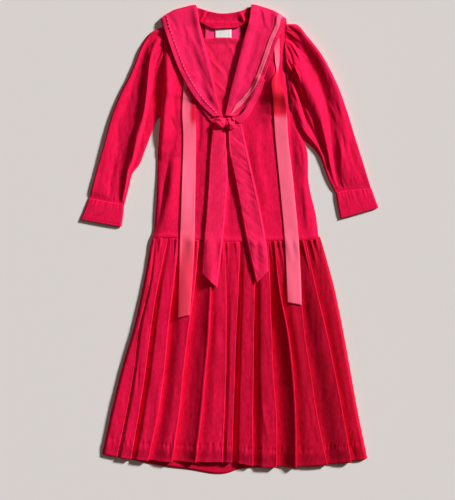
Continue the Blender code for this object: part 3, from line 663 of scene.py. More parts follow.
class Lay:
    """How high the cloth already lies over the floor."""

    CELL = 1.5
    LEFT, BOTTOM = -450.0, -690.0
    WIDE, LONG = 600, 920

    def __init__(self):
        self.top = np.zeros((self.LONG, self.WIDE))

    def add(self, points, wall):
        for _ in range(2):
            points = halved(halved(points).transpose(1, 0, 2)).transpose(1, 0, 2)
        column = np.rint((points[..., 0] - self.LEFT) / self.CELL).astype(int)
        row = np.rint((points[..., 1] - self.BOTTOM) / self.CELL).astype(int)
        column = np.clip(column, 0, self.WIDE - 1)
        row = np.clip(row, 0, self.LONG - 1)
        np.maximum.at(self.top, (row.ravel(), column.ravel()), points[..., 2].ravel() + wall)

    def under(self, x, y, reach=2, soften=2):
        """The height at which cloth laid at x, y clears what is there."""
        field = self.top
        for _ in range(reach):
            wide = np.pad(field, 1, mode="edge")
            field = np.maximum(field, np.maximum(wide[:-2, 1:-1], wide[2:, 1:-1]))
            field = np.maximum(field, np.maximum(wide[1:-1, :-2], wide[1:-1, 2:]))
        for _ in range(soften):
            wide = np.pad(field, 1, mode="edge")
            sides = wide[:-2, 1:-1] + wide[2:, 1:-1] + wide[1:-1, :-2] + wide[1:-1, 2:]
            field = (sides + field * 2) / 6
        u = np.clip((x - self.LEFT) / self.CELL, 0, self.WIDE - 2)
        v = np.clip((y - self.BOTTOM) / self.CELL, 0, self.LONG - 2)
        column, row = u.astype(int), v.astype(int)
        columns, rows = (column, column + 1), (row, row + 1)
        height = between_four(field, rows, columns, v - row, u - column)
        return np.where(height > 0.01, height + LAYER_GAP, 0)


def halved(points):
    """The grid with a new row half way between each two rows."""
    finer = np.empty((points.shape[0] * 2 - 1, *points.shape[1:]))
    finer[::2] = points
    finer[1::2] = (points[:-1] + points[1:]) / 2
    return finer


lay = Lay()


def distances(line):
    """How far each point of a line is from its start."""
    return np.append(0, np.cumsum(np.linalg.norm(np.diff(line, axis=0), axis=1)))


def as_mesh(bm, name):
    mesh = bpy.data.meshes.new(name)
    bm.to_mesh(mesh)
    bm.free()
    return mesh


def put(name, data):
    """Puts a mesh, a lamp or the camera into the scene."""
    made = bpy.data.objects.new(name, data)
    bpy.context.scene.collection.objects.link(made)
    return made


def panel(points):
    """A grid shaped to the points, with a cloth map in metres."""
    rows, columns = points.shape[0] - 1, points.shape[1] - 1
    bm = bmesh.new()
    bm.loops.layers.uv.new("weave")
    bmesh.ops.create_grid(bm, x_segments=columns, y_segments=rows, size=0.5, calc_uvs=True)
    mesh = as_mesh(bm, "panel")
    flat = np.empty(len(mesh.vertices) * 3)
    mesh.vertices.foreach_get("co", flat)
    flat = flat.reshape(-1, 3)
    column = np.rint((flat[:, 0] + 0.5) * columns).astype(int)
    row = np.rint((0.5 - flat[:, 1]) * rows).astype(int)
    mesh.vertices.foreach_set("co", (points[row, column] * MM).ravel())
    corner = np.empty(len(mesh.loops), dtype=np.int32)
    mesh.loops.foreach_get("vertex_index", corner)
    across = distances(points[rows // 2] * MM)
    along = distances(points[:, columns // 2] * MM)
    map_of = np.stack((across[column[corner]], along[row[corner]]), axis=1)
    mesh.uv_layers["weave"].data.foreach_set("uv", map_of.ravel())
    return mesh


def sew(name, patches, wall, cloths, outward=True):
    """One wall of cloth from grids of points, welded where they meet."""
    bm = bmesh.new()
    for points in patches:
        mesh = panel(points)
        bm.from_mesh(mesh)
        bpy.data.meshes.remove(mesh)
    bmesh.ops.remove_doubles(bm, verts=bm.verts, dist=0.00001)
    mesh = as_mesh(bm, name)
    mesh.shade_smooth()
    for cloth in cloths:
        mesh.materials.append(cloth)
    piece = put(name, mesh)
    shell = piece.modifiers.new("wall", "SOLIDIFY")
    shell.thickness = wall * MM
    shell.offset = 1 if outward else -1
    shell.material_offset = len(cloths) - 1
    return piece


def dress(piece, slot, *nodes):
    """Gives a finished piece its place in the frame."""
    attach(piece, "root")
    if nodes:
        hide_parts(*nodes)


# Finishes


class Value:
    """A number that changes over the cloth."""

    def __init__(self, finish, socket):
        self.finish = finish
        self.socket = socket

    def _worked(self, operation, first, second):
        return self.finish.node("ShaderNodeMath", {"operation": operation}, {0: first, 1: second})

    def __add__(self, other):
        return self._worked("ADD", self, other)

    def __radd__(self, other):
        return self._worked("ADD", other, self)

    def __sub__(self, other):
        return self._worked("SUBTRACT", self, other)

    def __rsub__(self, other):
        return self._worked("SUBTRACT", other, self)

    def __mul__(self, other):
        return self._worked("MULTIPLY", self, other)

    def __rmul__(self, other):
        return self._worked("MULTIPLY", other, self)


class Finish:
    """A cloth's finish, built up node by node."""

    def __init__(self, name, roughness, **constants):
        self.material = bpy.data.materials.new(name)
        self.material.use_nodes = True
        self.tree = self.material.node_tree
        self.shader = self.tree.nodes["Principled BSDF"]
        self.shader.inputs["Roughness"].default_value = roughness
        for socket, value in constants.items():
            self.shader.inputs[socket.replace("_", " ")].default_value = value

    def node(self, kind, settings, sockets, output=0):
        """Adds a node, sets it, joins its sockets and returns one output."""
        made = self.tree.nodes.new(kind)
        for setting, value in settings.items():
            setattr(made, setting, value)
        for socket, value in sockets.items():
            if isinstance(value, Value):
                self.tree.links.new(value.socket, made.inputs[socket])
            else:
                made.inputs[socket].default_value = value
        return Value(self, made.outputs[output])

    def cloth_map(self):
        return self.node("ShaderNodeUVMap", {"uv_map": "weave"}, {})

    def split(self, vector, axis):
        return self.node("ShaderNodeSeparateXYZ", {}, {0: vector}, axis)

    def scaled(self, vector, x, y, z):
        return self.node(
            "ShaderNodeVectorMath", {"operation": "MULTIPLY"}, {0: vector, 1: (x, y, z)}
        )

    def cloud(self, vector, scale, detail=2.0, roughness=0.5):
        sockets = {"Vector": vector, "Scale": scale, "Detail": detail, "Roughness": roughness}
        return self.node("ShaderNodeTexNoise", {}, sockets)

    def rows(self, value, spacing):
        """Ribs at an even spacing, from -1 to 1."""
        turn = value * (2 * math.pi / spacing)
        return self.node("ShaderNodeMath", {"operation": "SINE"}, {0: turn})

    def between(self, share, first, second):
        """A colour between two, each given or worked out."""
        sockets = {0: share}
        for socket, colour in ((6, first), (7, second)):
            sockets[socket] = colour if isinstance(colour, Value) else (*colour, 1)
        return self.node("ShaderNodeMix", {"data_type": "RGBA"}, sockets, 2)

    def ramp(self, value, start, end):
        """From 0 at the start to 1 at the end."""
        sockets = {0: value, 1: start, 2: end}
        return self.node("ShaderNodeMapRange", {"interpolation_type": "SMOOTHSTEP"}, sockets)

    def wear(self, socket, value):
        self.tree.links.new(value.socket, self.shader.inputs[socket])

    def raised(self, height, distance, strength=1.0):
        sockets = {"Height": height, "Distance": distance, "Strength": strength}
        self.wear("Normal", self.node("ShaderNodeBump", {}, sockets))


def needlecord(name, dark, light, turned=False, bloom=0.22, painted_shade_to_right=None):
    """Fine-ribbed crimson cotton with a short, streaky nap, and where given, painted shade that darkens
    it towards the right.
    """
    finish = Finish(
        name,
        0.85,
        Sheen_Weight=bloom,
        Sheen_Roughness=0.4,
        Sheen_Tint=(1.0, 0.32, 0.48, 1),
        Specular_IOR_Level=0.08,
    )
    weave = finish.cloth_map()
    fine = (60, 250, 1) if turned else (250, 60, 1)
    broad = (16, 44, 1) if turned else (44, 16, 1)
    streaks = finish.cloud(finish.scaled(weave, *fine), 1.0, 3.0, 0.6)
    patches = finish.cloud(finish.scaled(weave, *broad), 1.0, 2.0, 0.5)
    share = (streaks - 0.5) * 1.9 + (patches - 0.5) * 0.9 + 0.5
    colour = finish.between(share, dark, light)
    # Painted shade: the colour darkens towards the right side of the piece.
    if painted_shade_to_right:
        across = finish.ramp(finish.split(weave, 0), 0.05, 0.75)
        colour = finish.between(across, colour, finish.between(share, *painted_shade_to_right))
    finish.wear("Base Color", colour)
    ribs = finish.rows(finish.split(weave, 1 if turned else 0), RIB_PITCH)
    finish.raised(ribs * 0.25 + streaks * 0.7, 0.0006, 0.55)
    finish.material.diffuse_color = (*light, 1)
    return finish.material


def satin(name, dark, light, stretches=()):
    """Satin with its gloss along the ribbon, and stretches of another colour that paint shade and
    reflections on it.

    Each painted stretch gives in metres its start, its end, how far in from the left edge
    it begins and how softly it begins and ends, and its colour. The last is dull.
    """
    finish = Finish(name, 0.36, Specular_IOR_Level=0.14, Specular_Tint=(1.0, 0.4, 0.5, 1))
    weave = finish.cloth_map()
    threads = finish.cloud(finish.scaled(weave, 900, 30, 1), 1.0, 2.0, 0.5)
    colour = finish.between((threads - 0.5) * 1.2 + 0.5, dark, light)
    across, along = finish.split(weave, 0), finish.split(weave, 1)
    wander = (finish.cloud(weave, 40.0) - 0.5) * 0.012
    # Each stretch lays painted shade, or a painted reflection, over the satin's own colour.
    for start, end, inner, soft, painted_colour in stretches:
        shade = finish.ramp(along + wander, start - soft, start + soft)
        shade = shade * (1.0 - finish.ramp(along + wander, end - soft, end + soft))
        shade = shade * finish.ramp(across + wander * 0.3, inner, inner + 0.012)
        colour = finish.between(shade, colour, painted_colour)
    if stretches:
        finish.wear("Roughness", shade * 0.45 + 0.36)
    finish.wear("Base Color", colour)
    finish.raised(threads, 0.0002, 0.5)
    return finish.material


def label_cloth():
    finish = Finish("white woven label", 0.7)
    weave = finish.cloth_map()
    threads = finish.rows(finish.split(weave, 1), LABEL_PITCH)
    colour = finish.between(threads * 0.5 + 0.5, (0.80, 0.79, 0.76), (0.88, 0.87, 0.85))
    finish.wear("Base Color", colour)
    finish.raised(threads, 0.0001, 0.5)
    return finish.material


def thread(name, dark, light):
    finish = Finish(name, 0.7, Specular_IOR_Level=0.1)
    place = finish.node("ShaderNodeTexCoord", {}, {}, 3)
    cloud = finish.cloud(place, 900.0)
    finish.wear("Base Color", finish.between(cloud, dark, light))
    return finish.material


crimson = needlecord("crimson needlecord", (0.64, 0.002, 0.036), (0.95, 0.006, 0.088))
skirt_cord = needlecord(
    "crimson needlecord of the skirt",
    (0.62, 0.0018, 0.030),
    (0.92, 0.0060, 0.080),
    bloom=0.13,
    # painted shade that darkens the skirt towards its right side
    painted_shade_to_right=((0.44, 0.0008, 0.012), (0.70, 0.0034, 0.046)),
)
turned_cord = needlecord(
    "crimson needlecord, turned", (0.84, 0.009, 0.078), (1.0, 0.020, 0.138), turned=True
)
tie_cord = needlecord("crimson needlecord of the tie", (0.78, 0.008, 0.066), (1.0, 0.017, 0.118))
inside = needlecord("wrong side of the needlecord", (0.50, 0.0008, 0.02), (0.74, 0.003, 0.05))
# The wrong side inside the back neck, darkened well below the other wrong side as painted shade of the
# deep hollow there.
painted_shade_neck_inside = needlecord("wrong side in the neck, darkened as painted shade", (0.30, 0.0008, 0.012), (0.46, 0.002, 0.026))
# Painted shade on the streamers' satin, a deep one and a lighter one
DEEP_PAINTED_SHADE_RED = (0.30, 0.0008, 0.008)
PAINTED_SHADE_RED = (0.80, 0.009, 0.045)
# Painted reflection on the lower part of the left streamer
PAINTED_REFLECTION_PINK = (1.0, 0.055, 0.12)
PALE_PINK = ((1.0, 0.105, 0.205), (1.0, 0.175, 0.285))
pink_satin = satin("pink satin", *PALE_PINK)
# The left streamer has painted shade of the collar on its right half near the top, and a painted
# reflection on its lower part.
left_satin = satin(
    "pink satin of the left streamer",
    *PALE_PINK,
    ((0.46, 0.80, -0.03, 0.10, PAINTED_REFLECTION_PINK), (0.018, 0.135, 0.018, 0.018, PAINTED_SHADE_RED)),
)
# The right streamer has painted shade below its twist, darkest in the middle of it.
right_satin = satin(
    "pink satin of the right streamer",
    *PALE_PINK,
    ((0.088, 0.222, -0.03, 0.014, PAINTED_SHADE_RED), (0.152, 0.204, -0.01, 0.024, DEEP_PAINTED_SHADE_RED)),
)
lining = satin("crimson satin lining", (0.94, 0.03, 0.16), (1.0, 0.06, 0.26))
white_label = label_cloth()
deep_thread = thread("deep pink thread", (0.45, 0.004, 0.03), (0.60, 0.01, 0.06))
# Dark dots for the hollows of the left leaf's edging, partly painted shade
painted_shade_thread = thread("dark crimson thread, partly painted shade", (0.66, 0.002, 0.035), (0.80, 0.004, 0.052))
crimson_thread = thread("crimson thread", (0.95, 0.04, 0.15), (1.0, 0.10, 0.26))

# Back of the dress


def back_bodice():
    across, down = shares(90, 150)
    left_x, left_y = placed(BODICE_LEFT)(down)[:2]
    right_x, right_y = placed(BODICE_RIGHT)(down)[:2]
    x = part_way(left_x, right_x, across)
    y = part_way(left_y, right_y, across)
    upper = smooth_step(1 - down / 0.34)
    lower = smooth_step((down - 0.74) / 0.26)
    y = y + (neck_line(x)[0] - SHOULDER) * upper + (waist_line(x)[0] + SEAM_GAP / 2 - y) * lower
    z = lay.under(x, y, 3, 24) + 0.3 * (1 + drift(x / 40, y / 90, 3))
    return np.stack((x, y, z), axis=2)


def skirt_spot(hem_table, across, down, tuck=0.0):
    left, right = skirt_sides(0.0)
    top = waist_line(part_way(left, right, across))[0] - SEAM_GAP / 2 + tuck
    return part_way(top, placed(hem_table)(across)[0], down)


def back_skirt():
    across, down = shares(200, 100)
    left, right = skirt_sides(down)
    x = part_way(left, right, across)
    y = skirt_spot(BACK_HEM, across, down)
    soft = 0.6 * (1 + drift(across * 16, down * 2, 5)) * smooth_step(down / 0.3)
    return np.stack((x, y, soft), axis=2)


# Front of the skirt


def fold_stops(down):
    """Where the front skirt's folds rise and fall on each row, and how high."""
    left, right = skirt_sides(down)
    growth = WAIST_FOLD + (1 - WAIST_FOLD) * smooth_step(down / FULL_FOLD_PLACE)
    edges = [Curve(FOLD_PLACES, fold[0])(down)[0] for fold in SKIRT_FOLDS]
    crests = [fold[1] * growth for fold in SKIRT_FOLDS]
    left_roll, right_roll = 3 + 4.5 * growth, 2 + 7 * growth
    stops = [left, left + EDGE_ROLL]
    heights = [np.full_like(down, 1.0), left_roll]
    for number, (_, crest, foot, rise_share) in enumerate(SKIRT_FOLDS):
        last = number == len(SKIRT_FOLDS) - 1
        edge = edges[number]
        behind = edges[number - 1] if number else left + EDGE_ROLL
        ahead = right - EDGE_ROLL if last else edges[number + 1]
        ahead_height = right_roll if last else crests[number + 1]
        before = np.minimum(CREST_EASE, (edge - behind) * 0.06)
        after = np.minimum(CREST_EASE, (ahead - edge) * 0.06)
        low, top = edge + FOLD_REACH, ahead - FOLD_REACH
        slope_top = low + (top - low) * (0.15 + 0.75 * rise_share)
        stops += [edge - FOLD_REACH - before, edge - FOLD_REACH, low, low + after, slope_top]
        high, low_height = crest * growth, foot * growth
        slope_height = low_height + (ahead_height - low_height) * 0.88
        heights += [high - 0.35, high, low_height, low_height + 0.4, slope_height]
    stops += [right - EDGE_ROLL, right]
    heights += [right_roll, np.full_like(down, 1.5)]
    return np.maximum.accumulate(np.array(stops)), np.array(heights)


def front_skirt():
    columns, rows = 384, 116
    across, down = shares(columns, rows)
    # rows stand closer at the waist and at the hem
    down = down - 0.1 * np.sin(2 * np.pi * down)
    places = down[:, 0]
    stops, heights = fold_stops(places)
    # columns follow the folds, so that a slanted fold keeps a clean edge
    widths = np.abs(np.diff(stops[:, rows // 2]))
    weight = np.append(0, np.cumsum(np.sqrt(widths)))
    anchors = weight / weight[-1]
    x = np.empty_like(across)
    z = np.empty_like(across)
    for row in range(rows + 1):
        x[row] = np.interp(across[row], anchors, stops[:, row])
        z[row] = eased(stops[:, row], heights[:, row], x[row])
    left, right = skirt_sides(down)
    share = (x - left) / (right - left)
    y = skirt_spot(FRONT_HEM, share, down, SEAM_TUCK)
    y -= 0.2 * (z - 9) * smooth_step((down - 0.8) / 0.2)
    near_waist = smooth_step(1 - down / 0.17)
    for number, place in enumerate(GATHERS):
        centre = part_way(left, right, place)
        reach = smooth_step(1 - down / (0.10 + 0.02 * (number * 5 % 7)))
        z += 3.2 * hill(x - centre, 2.4 + 0.5 * (number % 3)) * reach
    z += (2.4 + 0.7 * drift(x / 4.5, down * 7, 11)) * near_waist
    hem_line = HEM_LINE + 0.004 * drift(x / 40, down * 0, 12)
    from_hem = (down - hem_line) * SKIRT_LENGTH
    z += 1.5 * drift(x / 3.6, down * 14, 13) * hill(from_hem, 9)
    z -= 0.5 * hill(from_hem, 2.5)
    z += 0.5 * drift(x / 16, down * 9, 14) + 0.35 * drift(x / 7, down * 16, 15)
    z += creased(x, y, SKIRT_CREASES)
    z *= 1 - 0.4 * smooth_step((down - 0.94) / 0.06)
    z = np.maximum(z, 0.15)
    tucked = part_way(TUCKED_HEIGHT, z, smooth_step((down - 0.0062) / 0.005))
    z = tucked + lay.under(x, y, 1, 2)
    return np.stack((x, y, z), axis=2)


# Front of the bodice


def bodice_spot(table, across, down):
    """Where a half's points lie, and how far they are from its side."""
    side_x, side_y, neck_x, neck_y = placed(table)(down)
    x = part_way(side_x, neck_x, across)
    y = part_way(side_y, neck_y, across)
    lower = smooth_step((down - 0.88) / 0.12)
    y = part_way(y, waist_line(x)[0], lower)
    y = part_way(y, neck_line(x)[0], smooth_step(1 - down / 0.11))
    return x, y + SEAM_GAP / 2 * lower, across * np.hypot(neck_x - side_x, neck_y - side_y)


def front_bodice():
    halves = []
    across, down = shares(70, 190)
    for table in (BODICE_LEFT, BODICE_RIGHT):
        x, y, from_side = bodice_spot(table, across, down)
        body = 3.0 * smooth_step(from_side / 14) * smooth_step(down / 0.06)
        soft = creased(x, y, BODICE_CREASES) * smooth_step((from_side + 1) / 6)
        soft += 0.35 * drift(x / 18, y / 60, 21) + 0.25 * drift(x / 8, y / 22, 22)
        z = lay.under(x, y, 3, 14) + np.maximum(body + soft, 0)
        seam = SEAM_HEIGHT * (0.6 + 0.4 * smooth_step(from_side / 16))
        z = part_way(z, seam, smooth_step((down - 0.90) / 0.09))
        z += 0.35 * drift(x / 5, y * 0, 23) * smooth_step((down - 0.97) / 0.03)
        halves.append(np.stack((x, y, np.maximum(z, 0.4)), axis=2))
    left, right = halves
    joined = down[:, 0] >= V_POINT
    meet = (left[joined, -1] + right[joined, -1]) / 2
    meet[:, 2] = np.maximum(left[joined, -1, 2], right[joined, -1, 2])
    left[joined, -1] = meet
    right[joined, -1] = meet
    return left, right[:, ::-1]


# Neck


def oblong(box, columns, rows):
    """Points and their shares across, from a box's left, right, bottom and top."""
    left, right, bottom, top = box
    across, down = shares(columns, rows)
    return part_way(left, right, across), part_way(top, bottom, down), across


def neck_facing():
    x, y, _ = oblong(NECK_FACING, 60, 24)
    z = lay.under(x, y, 2, 4) + 0.15 * (1 + drift(x / 14, y / 20, 31))
    return np.stack((x, y, z), axis=2)


def neck_label():
    x, y, across = oblong(NECK_LABEL, 24, 14)
    z = lay.under(x, y, 3, 6) + 0.4 * hill(across - 0.5, 0.4)
    return np.stack((x, y, z), axis=2)


def collar_stand():
    across, down = shares(110, 30)
    left, right = STAND_ENDS
    x = part_way(left, right, across)
    top = neck_line(x)[0] - 2
    y = part_way(top, stand_edge(x)[0], down)
    roll = 1.5 * hill(down, 0.25) + 1.2 * down + creased(x, y, STAND_CREASES)
    ends = smooth_step((x - left) / 20) * smooth_step((right - x) / 14)
    rise = 1.5 + roll + 0.3 * drift(x / 9, y / 9, 32)
    z = lay.under(x, y, 2, 4) + np.maximum(rise * ends, 0.2)
    return np.stack((x, y, z), axis=2)


def modesty_panel():
    across, down = shares(60, 110)
    left, right, y = placed(DICKEY)(down)
    x = part_way(left, right, across)
    soft = creased(x, y, DICKEY_CREASES) + 0.3 * drift(x / 14, y / 24, 33)
    z = lay.under(x, y, 3, 5) + np.maximum(0.8 + soft, 0.1)
    return np.stack((x, y, z), axis=2)


# Sleeves


def tube(curve, over, under, places):
    """A flattened tube: over its top from edge to edge, then back beneath."""
    share = np.concatenate((np.linspace(0, 1, over + 1), np.linspace(0.97, 0.03, under), [0.0]))
    across, down = np.meshgrid(share, places)
    outer_x, outer_y, inner_x, inner_y = curve(down)
    return part_way(outer_x, inner_x, across), part_way(outer_y, inner_y, across), across, down


def sleeve(table, form, side_table, creases, outward):
    """A sleeve that starts on the bodice's side and lies flat where its cuff begins."""
    over, rows = 120, 200
    curve = numbered(table)
    x, y, across, down = tube(curve, over, 14, np.linspace(0, 1, rows + 1) ** 1.15)
    first_x, first_y, last_x, last_y = curve(0.0)
    seam_x = part_way(first_x, last_x, across)
    seam_y = part_way(first_y, last_y, across)
    side = np.asarray(side_table, float)[::-1]
    pull = np.interp(seam_y, side[:, 2], side[:, 1]) + outward * SEAM_GAP - seam_x
    x = x + pull * smooth_step(1 - down / ARMHOLE_REACH)
    if outward > 0:
        x = x - UNDERARM_LAP * smooth_step((across - 0.8) / 0.2) * hill(down - 0.2, 0.16)
    z = np.zeros_like(x)
    top, top_down, top_x, top_y, top_z = (grid[:, : over + 1] for grid in (across, down, x, y, z))
    form_at = placed(form)
    for row, place in enumerate(down[:, 0]):
        values = form_at(place)
        stops = np.concatenate(([0.0], values[0::2], [1.0]))
        heights = np.concatenate(([SLEEVE_EDGE / 2], values[1::2], [SLEEVE_EDGE / 2]))
        top_z[row] = eased(stops, heights, top[row])
    soft = creased(top_x, top_y, creases)
    soft += 0.6 * drift(top_x / 12, top_y / 40, 41) + 0.35 * drift(top_x / 6, top_y / 18, 42)
    gathered = smooth_step((top_down - 0.86) / 0.1)
    soft += 1.3 * drift(top * 20, top * 0 + 0.5, 43) * gathered
    rise = top_z + soft * np.sin(np.pi * np.clip(top, 0.0, 1.0)) ** 0.25
    top_z[:] = np.where(top * (1 - top) > 0, np.maximum(rise, SLEEVE_LEAST), SLEEVE_EDGE / 2)
    into_cuff = smooth_step((top_down - 0.91) / 0.08)
    top_z[:] = part_way(top_z, np.minimum(top_z, SLEEVE_END), into_cuff)
    points = np.stack((x, y, z), axis=2)
    return points[:, ::-1] if outward > 0 else points


def cuff(table, sleeve_table, outward):
    """A cuff whose seam is tucked a little way into the sleeve."""
    over, rows = 90, 26
    seam = np.array(sleeve_table[-1], float)
    seam[[1, 3]] += CUFF_TUCK
    curve = numbered((tuple(seam), *table))
    x, y, across, down = tube(curve, over, 12, np.linspace(0, 1, rows + 1))
    z = np.zeros_like(x)
    top, top_down = across[:, : over + 1], down[:, : over + 1]
    rim = smooth_step(np.minimum(top, 1 - top) / 0.035)
    height = CUFF_HEIGHT + 0.8 * np.sin(np.pi * top)
    height += 0.9 * drift(top * 22, top_down * 1.2, 51) * hill(top_down, 0.45)
    height -= 0.8 * hill(top_down - 0.93, 0.04)
    height -= 1.1 * hill(top_down, 0.15)
    z[:, : over + 1] = part_way(CUFF_HEIGHT / 2, height, rim)
    points = np.stack((x, y, z), axis=2)
    return points[:, ::-1] if outward > 0 else points


# Ribbons and tie


def strip(table, columns, rows, reach=3, soften=12):
    """A strip between the two edges of a table, laid on what is there."""
    across, down = shares(columns, rows)
    left_x, left_y, right_x, right_y = numbered(table)(down)
    x = part_way(left_x, right_x, across)
    y = part_way(left_y, right_y, across)
    return x, y, lay.under(x, y, reach, soften), across, down


def ribbon(table, rows, seed):
    x, y, z, across, down = strip(table, 18, rows, 3, 24)
    z = z + 0.5 + 0.5 * (1 + drift(down * 9, across * 0.7, seed))
    return np.stack((x, y, z), axis=2)


def tie_band(table, rows, tilt):
    x, y, z, across, down = strip(table, 14, rows)
    z = z + 1.0 + tilt * (1 - across) + 0.4 * drift(down * 8, across * 2, 77)
    return np.stack((x, y, z), axis=2)


def tie_tail(table, lean, seed):
    """A tail with slanting wrinkles and a pressed, stitched edge."""
    x, y, z, across, down = strip(table, 34, 150, 4, 30)
    from_edge = np.minimum(across, 1 - across) * TAIL_WIDTH
    body = 3.2 * smooth_step(from_edge / 3) * smooth_step((down + 0.02) / 0.06)
    slant = down * TAIL_LENGTH + lean * across * TAIL_WIDTH
    body += 0.7 * drift(slant / 14, across * 1.4, seed) * smooth_step(from_edge / 8)
    body += 0.3 * drift(slant / 5, across * 3, seed + 1) * smooth_step(from_edge / 6)
    body -= 0.4 * hill(from_edge - 6, 1.2)
    body += 0.5 * drift(down * 75, across * 2, seed + 2) * hill(from_edge - 4, 4)
    return np.stack((x, y, z + 2.0 + np.maximum(body, -0.2)), axis=2)


def knot():
    x, y, _ = oblong(KNOT, 70, 36)
    rise = np.zeros_like(x)
    for centre_x, centre_y, half_width, half_length, high in KNOT_LUMPS:
        far = ((x - centre_x) / half_width) ** 2 + ((y - centre_y) / half_length) ** 2
        rise = np.maximum(rise, high * np.sqrt(np.maximum(1 - far, 0)))
    rise += creased(x, y, KNOT_CREASES) * smooth_step(rise / 3)
    z = lay.under(x, y, 3, 6) + np.maximum(rise, 0)
    return np.stack((x, y, z), axis=2)


# Collar


def leaf(table, creases, form, seed):
    """Rows run from the outer edge to the neck edge, columns from tip to shoulder."""
    along, in_from_edge = shares(120, COLLAR_ROWS)
    neck_x, neck_y, outer_x, outer_y = numbered(table)(along)
    x = part_way(outer_x, neck_x, in_from_edge)
    y = part_way(outer_y, neck_y, in_from_edge)
    y = part_way(y, neck_line(x)[0], smooth_step((along - 0.8) / 0.2))
    z = lay.under(x, y, 3, 22)
    roll_height, roll_width, rim_height, rim_width = form
    roll = roll_height * hill(in_from_edge - 0.92, roll_width) * smooth_step(along / 0.35)
    rim = rim_height * hill(in_from_edge - 0.05, rim_width) * smooth_step((along - 0.2) / 0.4)
    rim = rim * (1 - 0.6 * smooth_step((along - 0.6) / 0.3))
    soft = 0.9 + creased(x, y, creases) + 0.5 * drift(x / 22, y / 30, seed)
    soft += 0.25 * drift(x / 8, y / 9, seed + 1)
    z = z + roll + rim + np.maximum(soft, 0.1)
    return np.stack((x, y, z), axis=2)


def flap():
    """The back flap, flat, with its columns round from shoulder to shoulder."""
    edge = np.asarray(FLAP_EDGE, float)
    at = np.linspace(0, len(edge) - 1, (len(edge) - 1) * 6 + 1)
    edge_x, edge_y, seam_x = (np.interp(at, range(len(edge)), edge[:, n]) for n in range(3))
    share = np.linspace(0, 1, COLLAR_ROWS + 1)[:, None]
    x = part_way(edge_x, seam_x, share)
    y = part_way(edge_y, neck_line(seam_x)[0] - 3, share)
    for end in (0, -1):
        y[:, end] = neck_line(x[:, end])[0]
    return np.stack((x, y, np.full_like(x, FLAP_TOP)), axis=2)


def over_shoulder(upper, lower):
    """Columns that roll over the shoulder from the leaf to the flap."""
    middle = (upper + lower) / 2
    half = (upper[:, 2] - lower[:, 2]) / 2
    columns = []
    for turn in np.linspace(0, 1, 8)[1:-1]:
        column = middle.copy()
        column[:, 1] = upper[:, 1] + SHOULDER_ROLL * np.sin(np.pi * turn)
        column[:, 2] = middle[:, 2] + half * np.cos(np.pi * turn)
        columns.append(column)
    return np.stack(columns, axis=1)


def whole_collar():
    left = leaf(COLLAR_LEFT, LEFT_LEAF_CREASES, LEFT_LEAF_FORM, 61)
    right = leaf(COLLAR_RIGHT, RIGHT_LEAF_CREASES, RIGHT_LEAF_FORM, 63)[:, ::-1]
    back = flap()
    over_left = over_shoulder(left[:, -1], back[:, 0])
    over_right = over_shoulder(right[:, 0], back[:, -1])[:, ::-1]
    collar = np.concatenate((left, over_left, back, over_right, right), axis=1)
    return collar, left.shape[1], right.shape[1]


def outward_normals(points):
    normals = np.cross(np.gradient(points, axis=0), np.gradient(points, axis=1))
    return normals / np.linalg.norm(normals, axis=2, keepdims=True)


def on_collar(collar, insets, first, last, lift):
    """Points at some insets from the collar's edge, moved out from its face."""
    faces = collar + outward_normals(collar) * lift
    points = np.zeros((len(insets), last - first, 3))
    for column in range(first, last):
        edge = faces[0, column]
        length = np.linalg.norm(faces[-1, column] - edge)
        for row, inset in enumerate(insets):
            place = min(inset, length * 0.5) / length * (collar.shape[0] - 1)
            index = min(int(place), collar.shape[0] - 2)
            low = faces[index, column]
            high = faces[index + 1, column]
            points[row, column - first] = part_way(low, high, place - index)
    return points


def puckered_edging(collar, last):
    """The left leaf's narrow edging, drawn up between its stitches."""
    insets = np.linspace(EDGING_INSET, EDGING_INSET + EDGING_WIDTH, TRIM_ROWS)
    edging = on_collar(collar, insets, 1, last, DOUBLE_CLOTH + 0.05)
    edging = halved(halved(edging.transpose(1, 0, 2))).transpose(1, 0, 2)
    turn = distances(edging[TRIM_ROWS // 2]) / EDGING_PITCH * math.pi
    middle = np.linspace(-1, 1, edging.shape[0])[:, None]
    edging[..., 2] += 1.2 * np.sin(turn) ** 2 * (1 - middle**2) - 0.3
    return edging


# Stitches


def along_line(line, spacing, first):
    """Evenly spaced spots on a line of points, with the run at each."""
    length = distances(line)
    at = np.arange(spacing * first, length[-1], spacing)
    spots, ahead, behind = (
        np.stack([np.interp(at + step, length, line[:, n]) for n in range(3)], axis=1)
        for step in (0, 1, -1)
    )
    return spots, ahead - behind


def stitches(name, line, spacing, first, size, cloth):
    """A row of short stitches as one piece, the first at a share of the spacing."""
    bm = bmesh.new()
    for spot, run in zip(*along_line(line, spacing, first)):
        made = bmesh.ops.create_cube(bm, size=1)
        bmesh.ops.scale(bm, vec=[side * MM for side in size], verts=made["verts"])
        tips = [vert for vert in made["verts"] if vert.co.z > 0]
        bmesh.ops.scale(bm, vec=(0.6, 0.6, 1), verts=tips)
        turn = math.atan2(run[1], run[0])
        bmesh.ops.rotate(bm, verts=made["verts"], matrix=Matrix.Rotation(turn, 3, "Z"))
        bmesh.ops.translate(bm, vec=[value * MM for value in spot], verts=made["verts"])
    mesh = as_mesh(bm, name)
    mesh.materials.append(cloth)
    return put(name, mesh)


# The dress, from the bottom layer up

pieces = {}


def add_piece(name, patches, wall, cloths, slot, node, outward=True):
    pieces[name] = sew(name, patches, wall, cloths, outward)
    dress(pieces[name], slot, node)


def lay_piece(name, patches, wall, cloths, slot, node):
    """Adds a piece that the next ones lie on."""
    add_piece(name, patches, wall, cloths, slot, node)
    for points in patches:
        lay.add(points, wall)


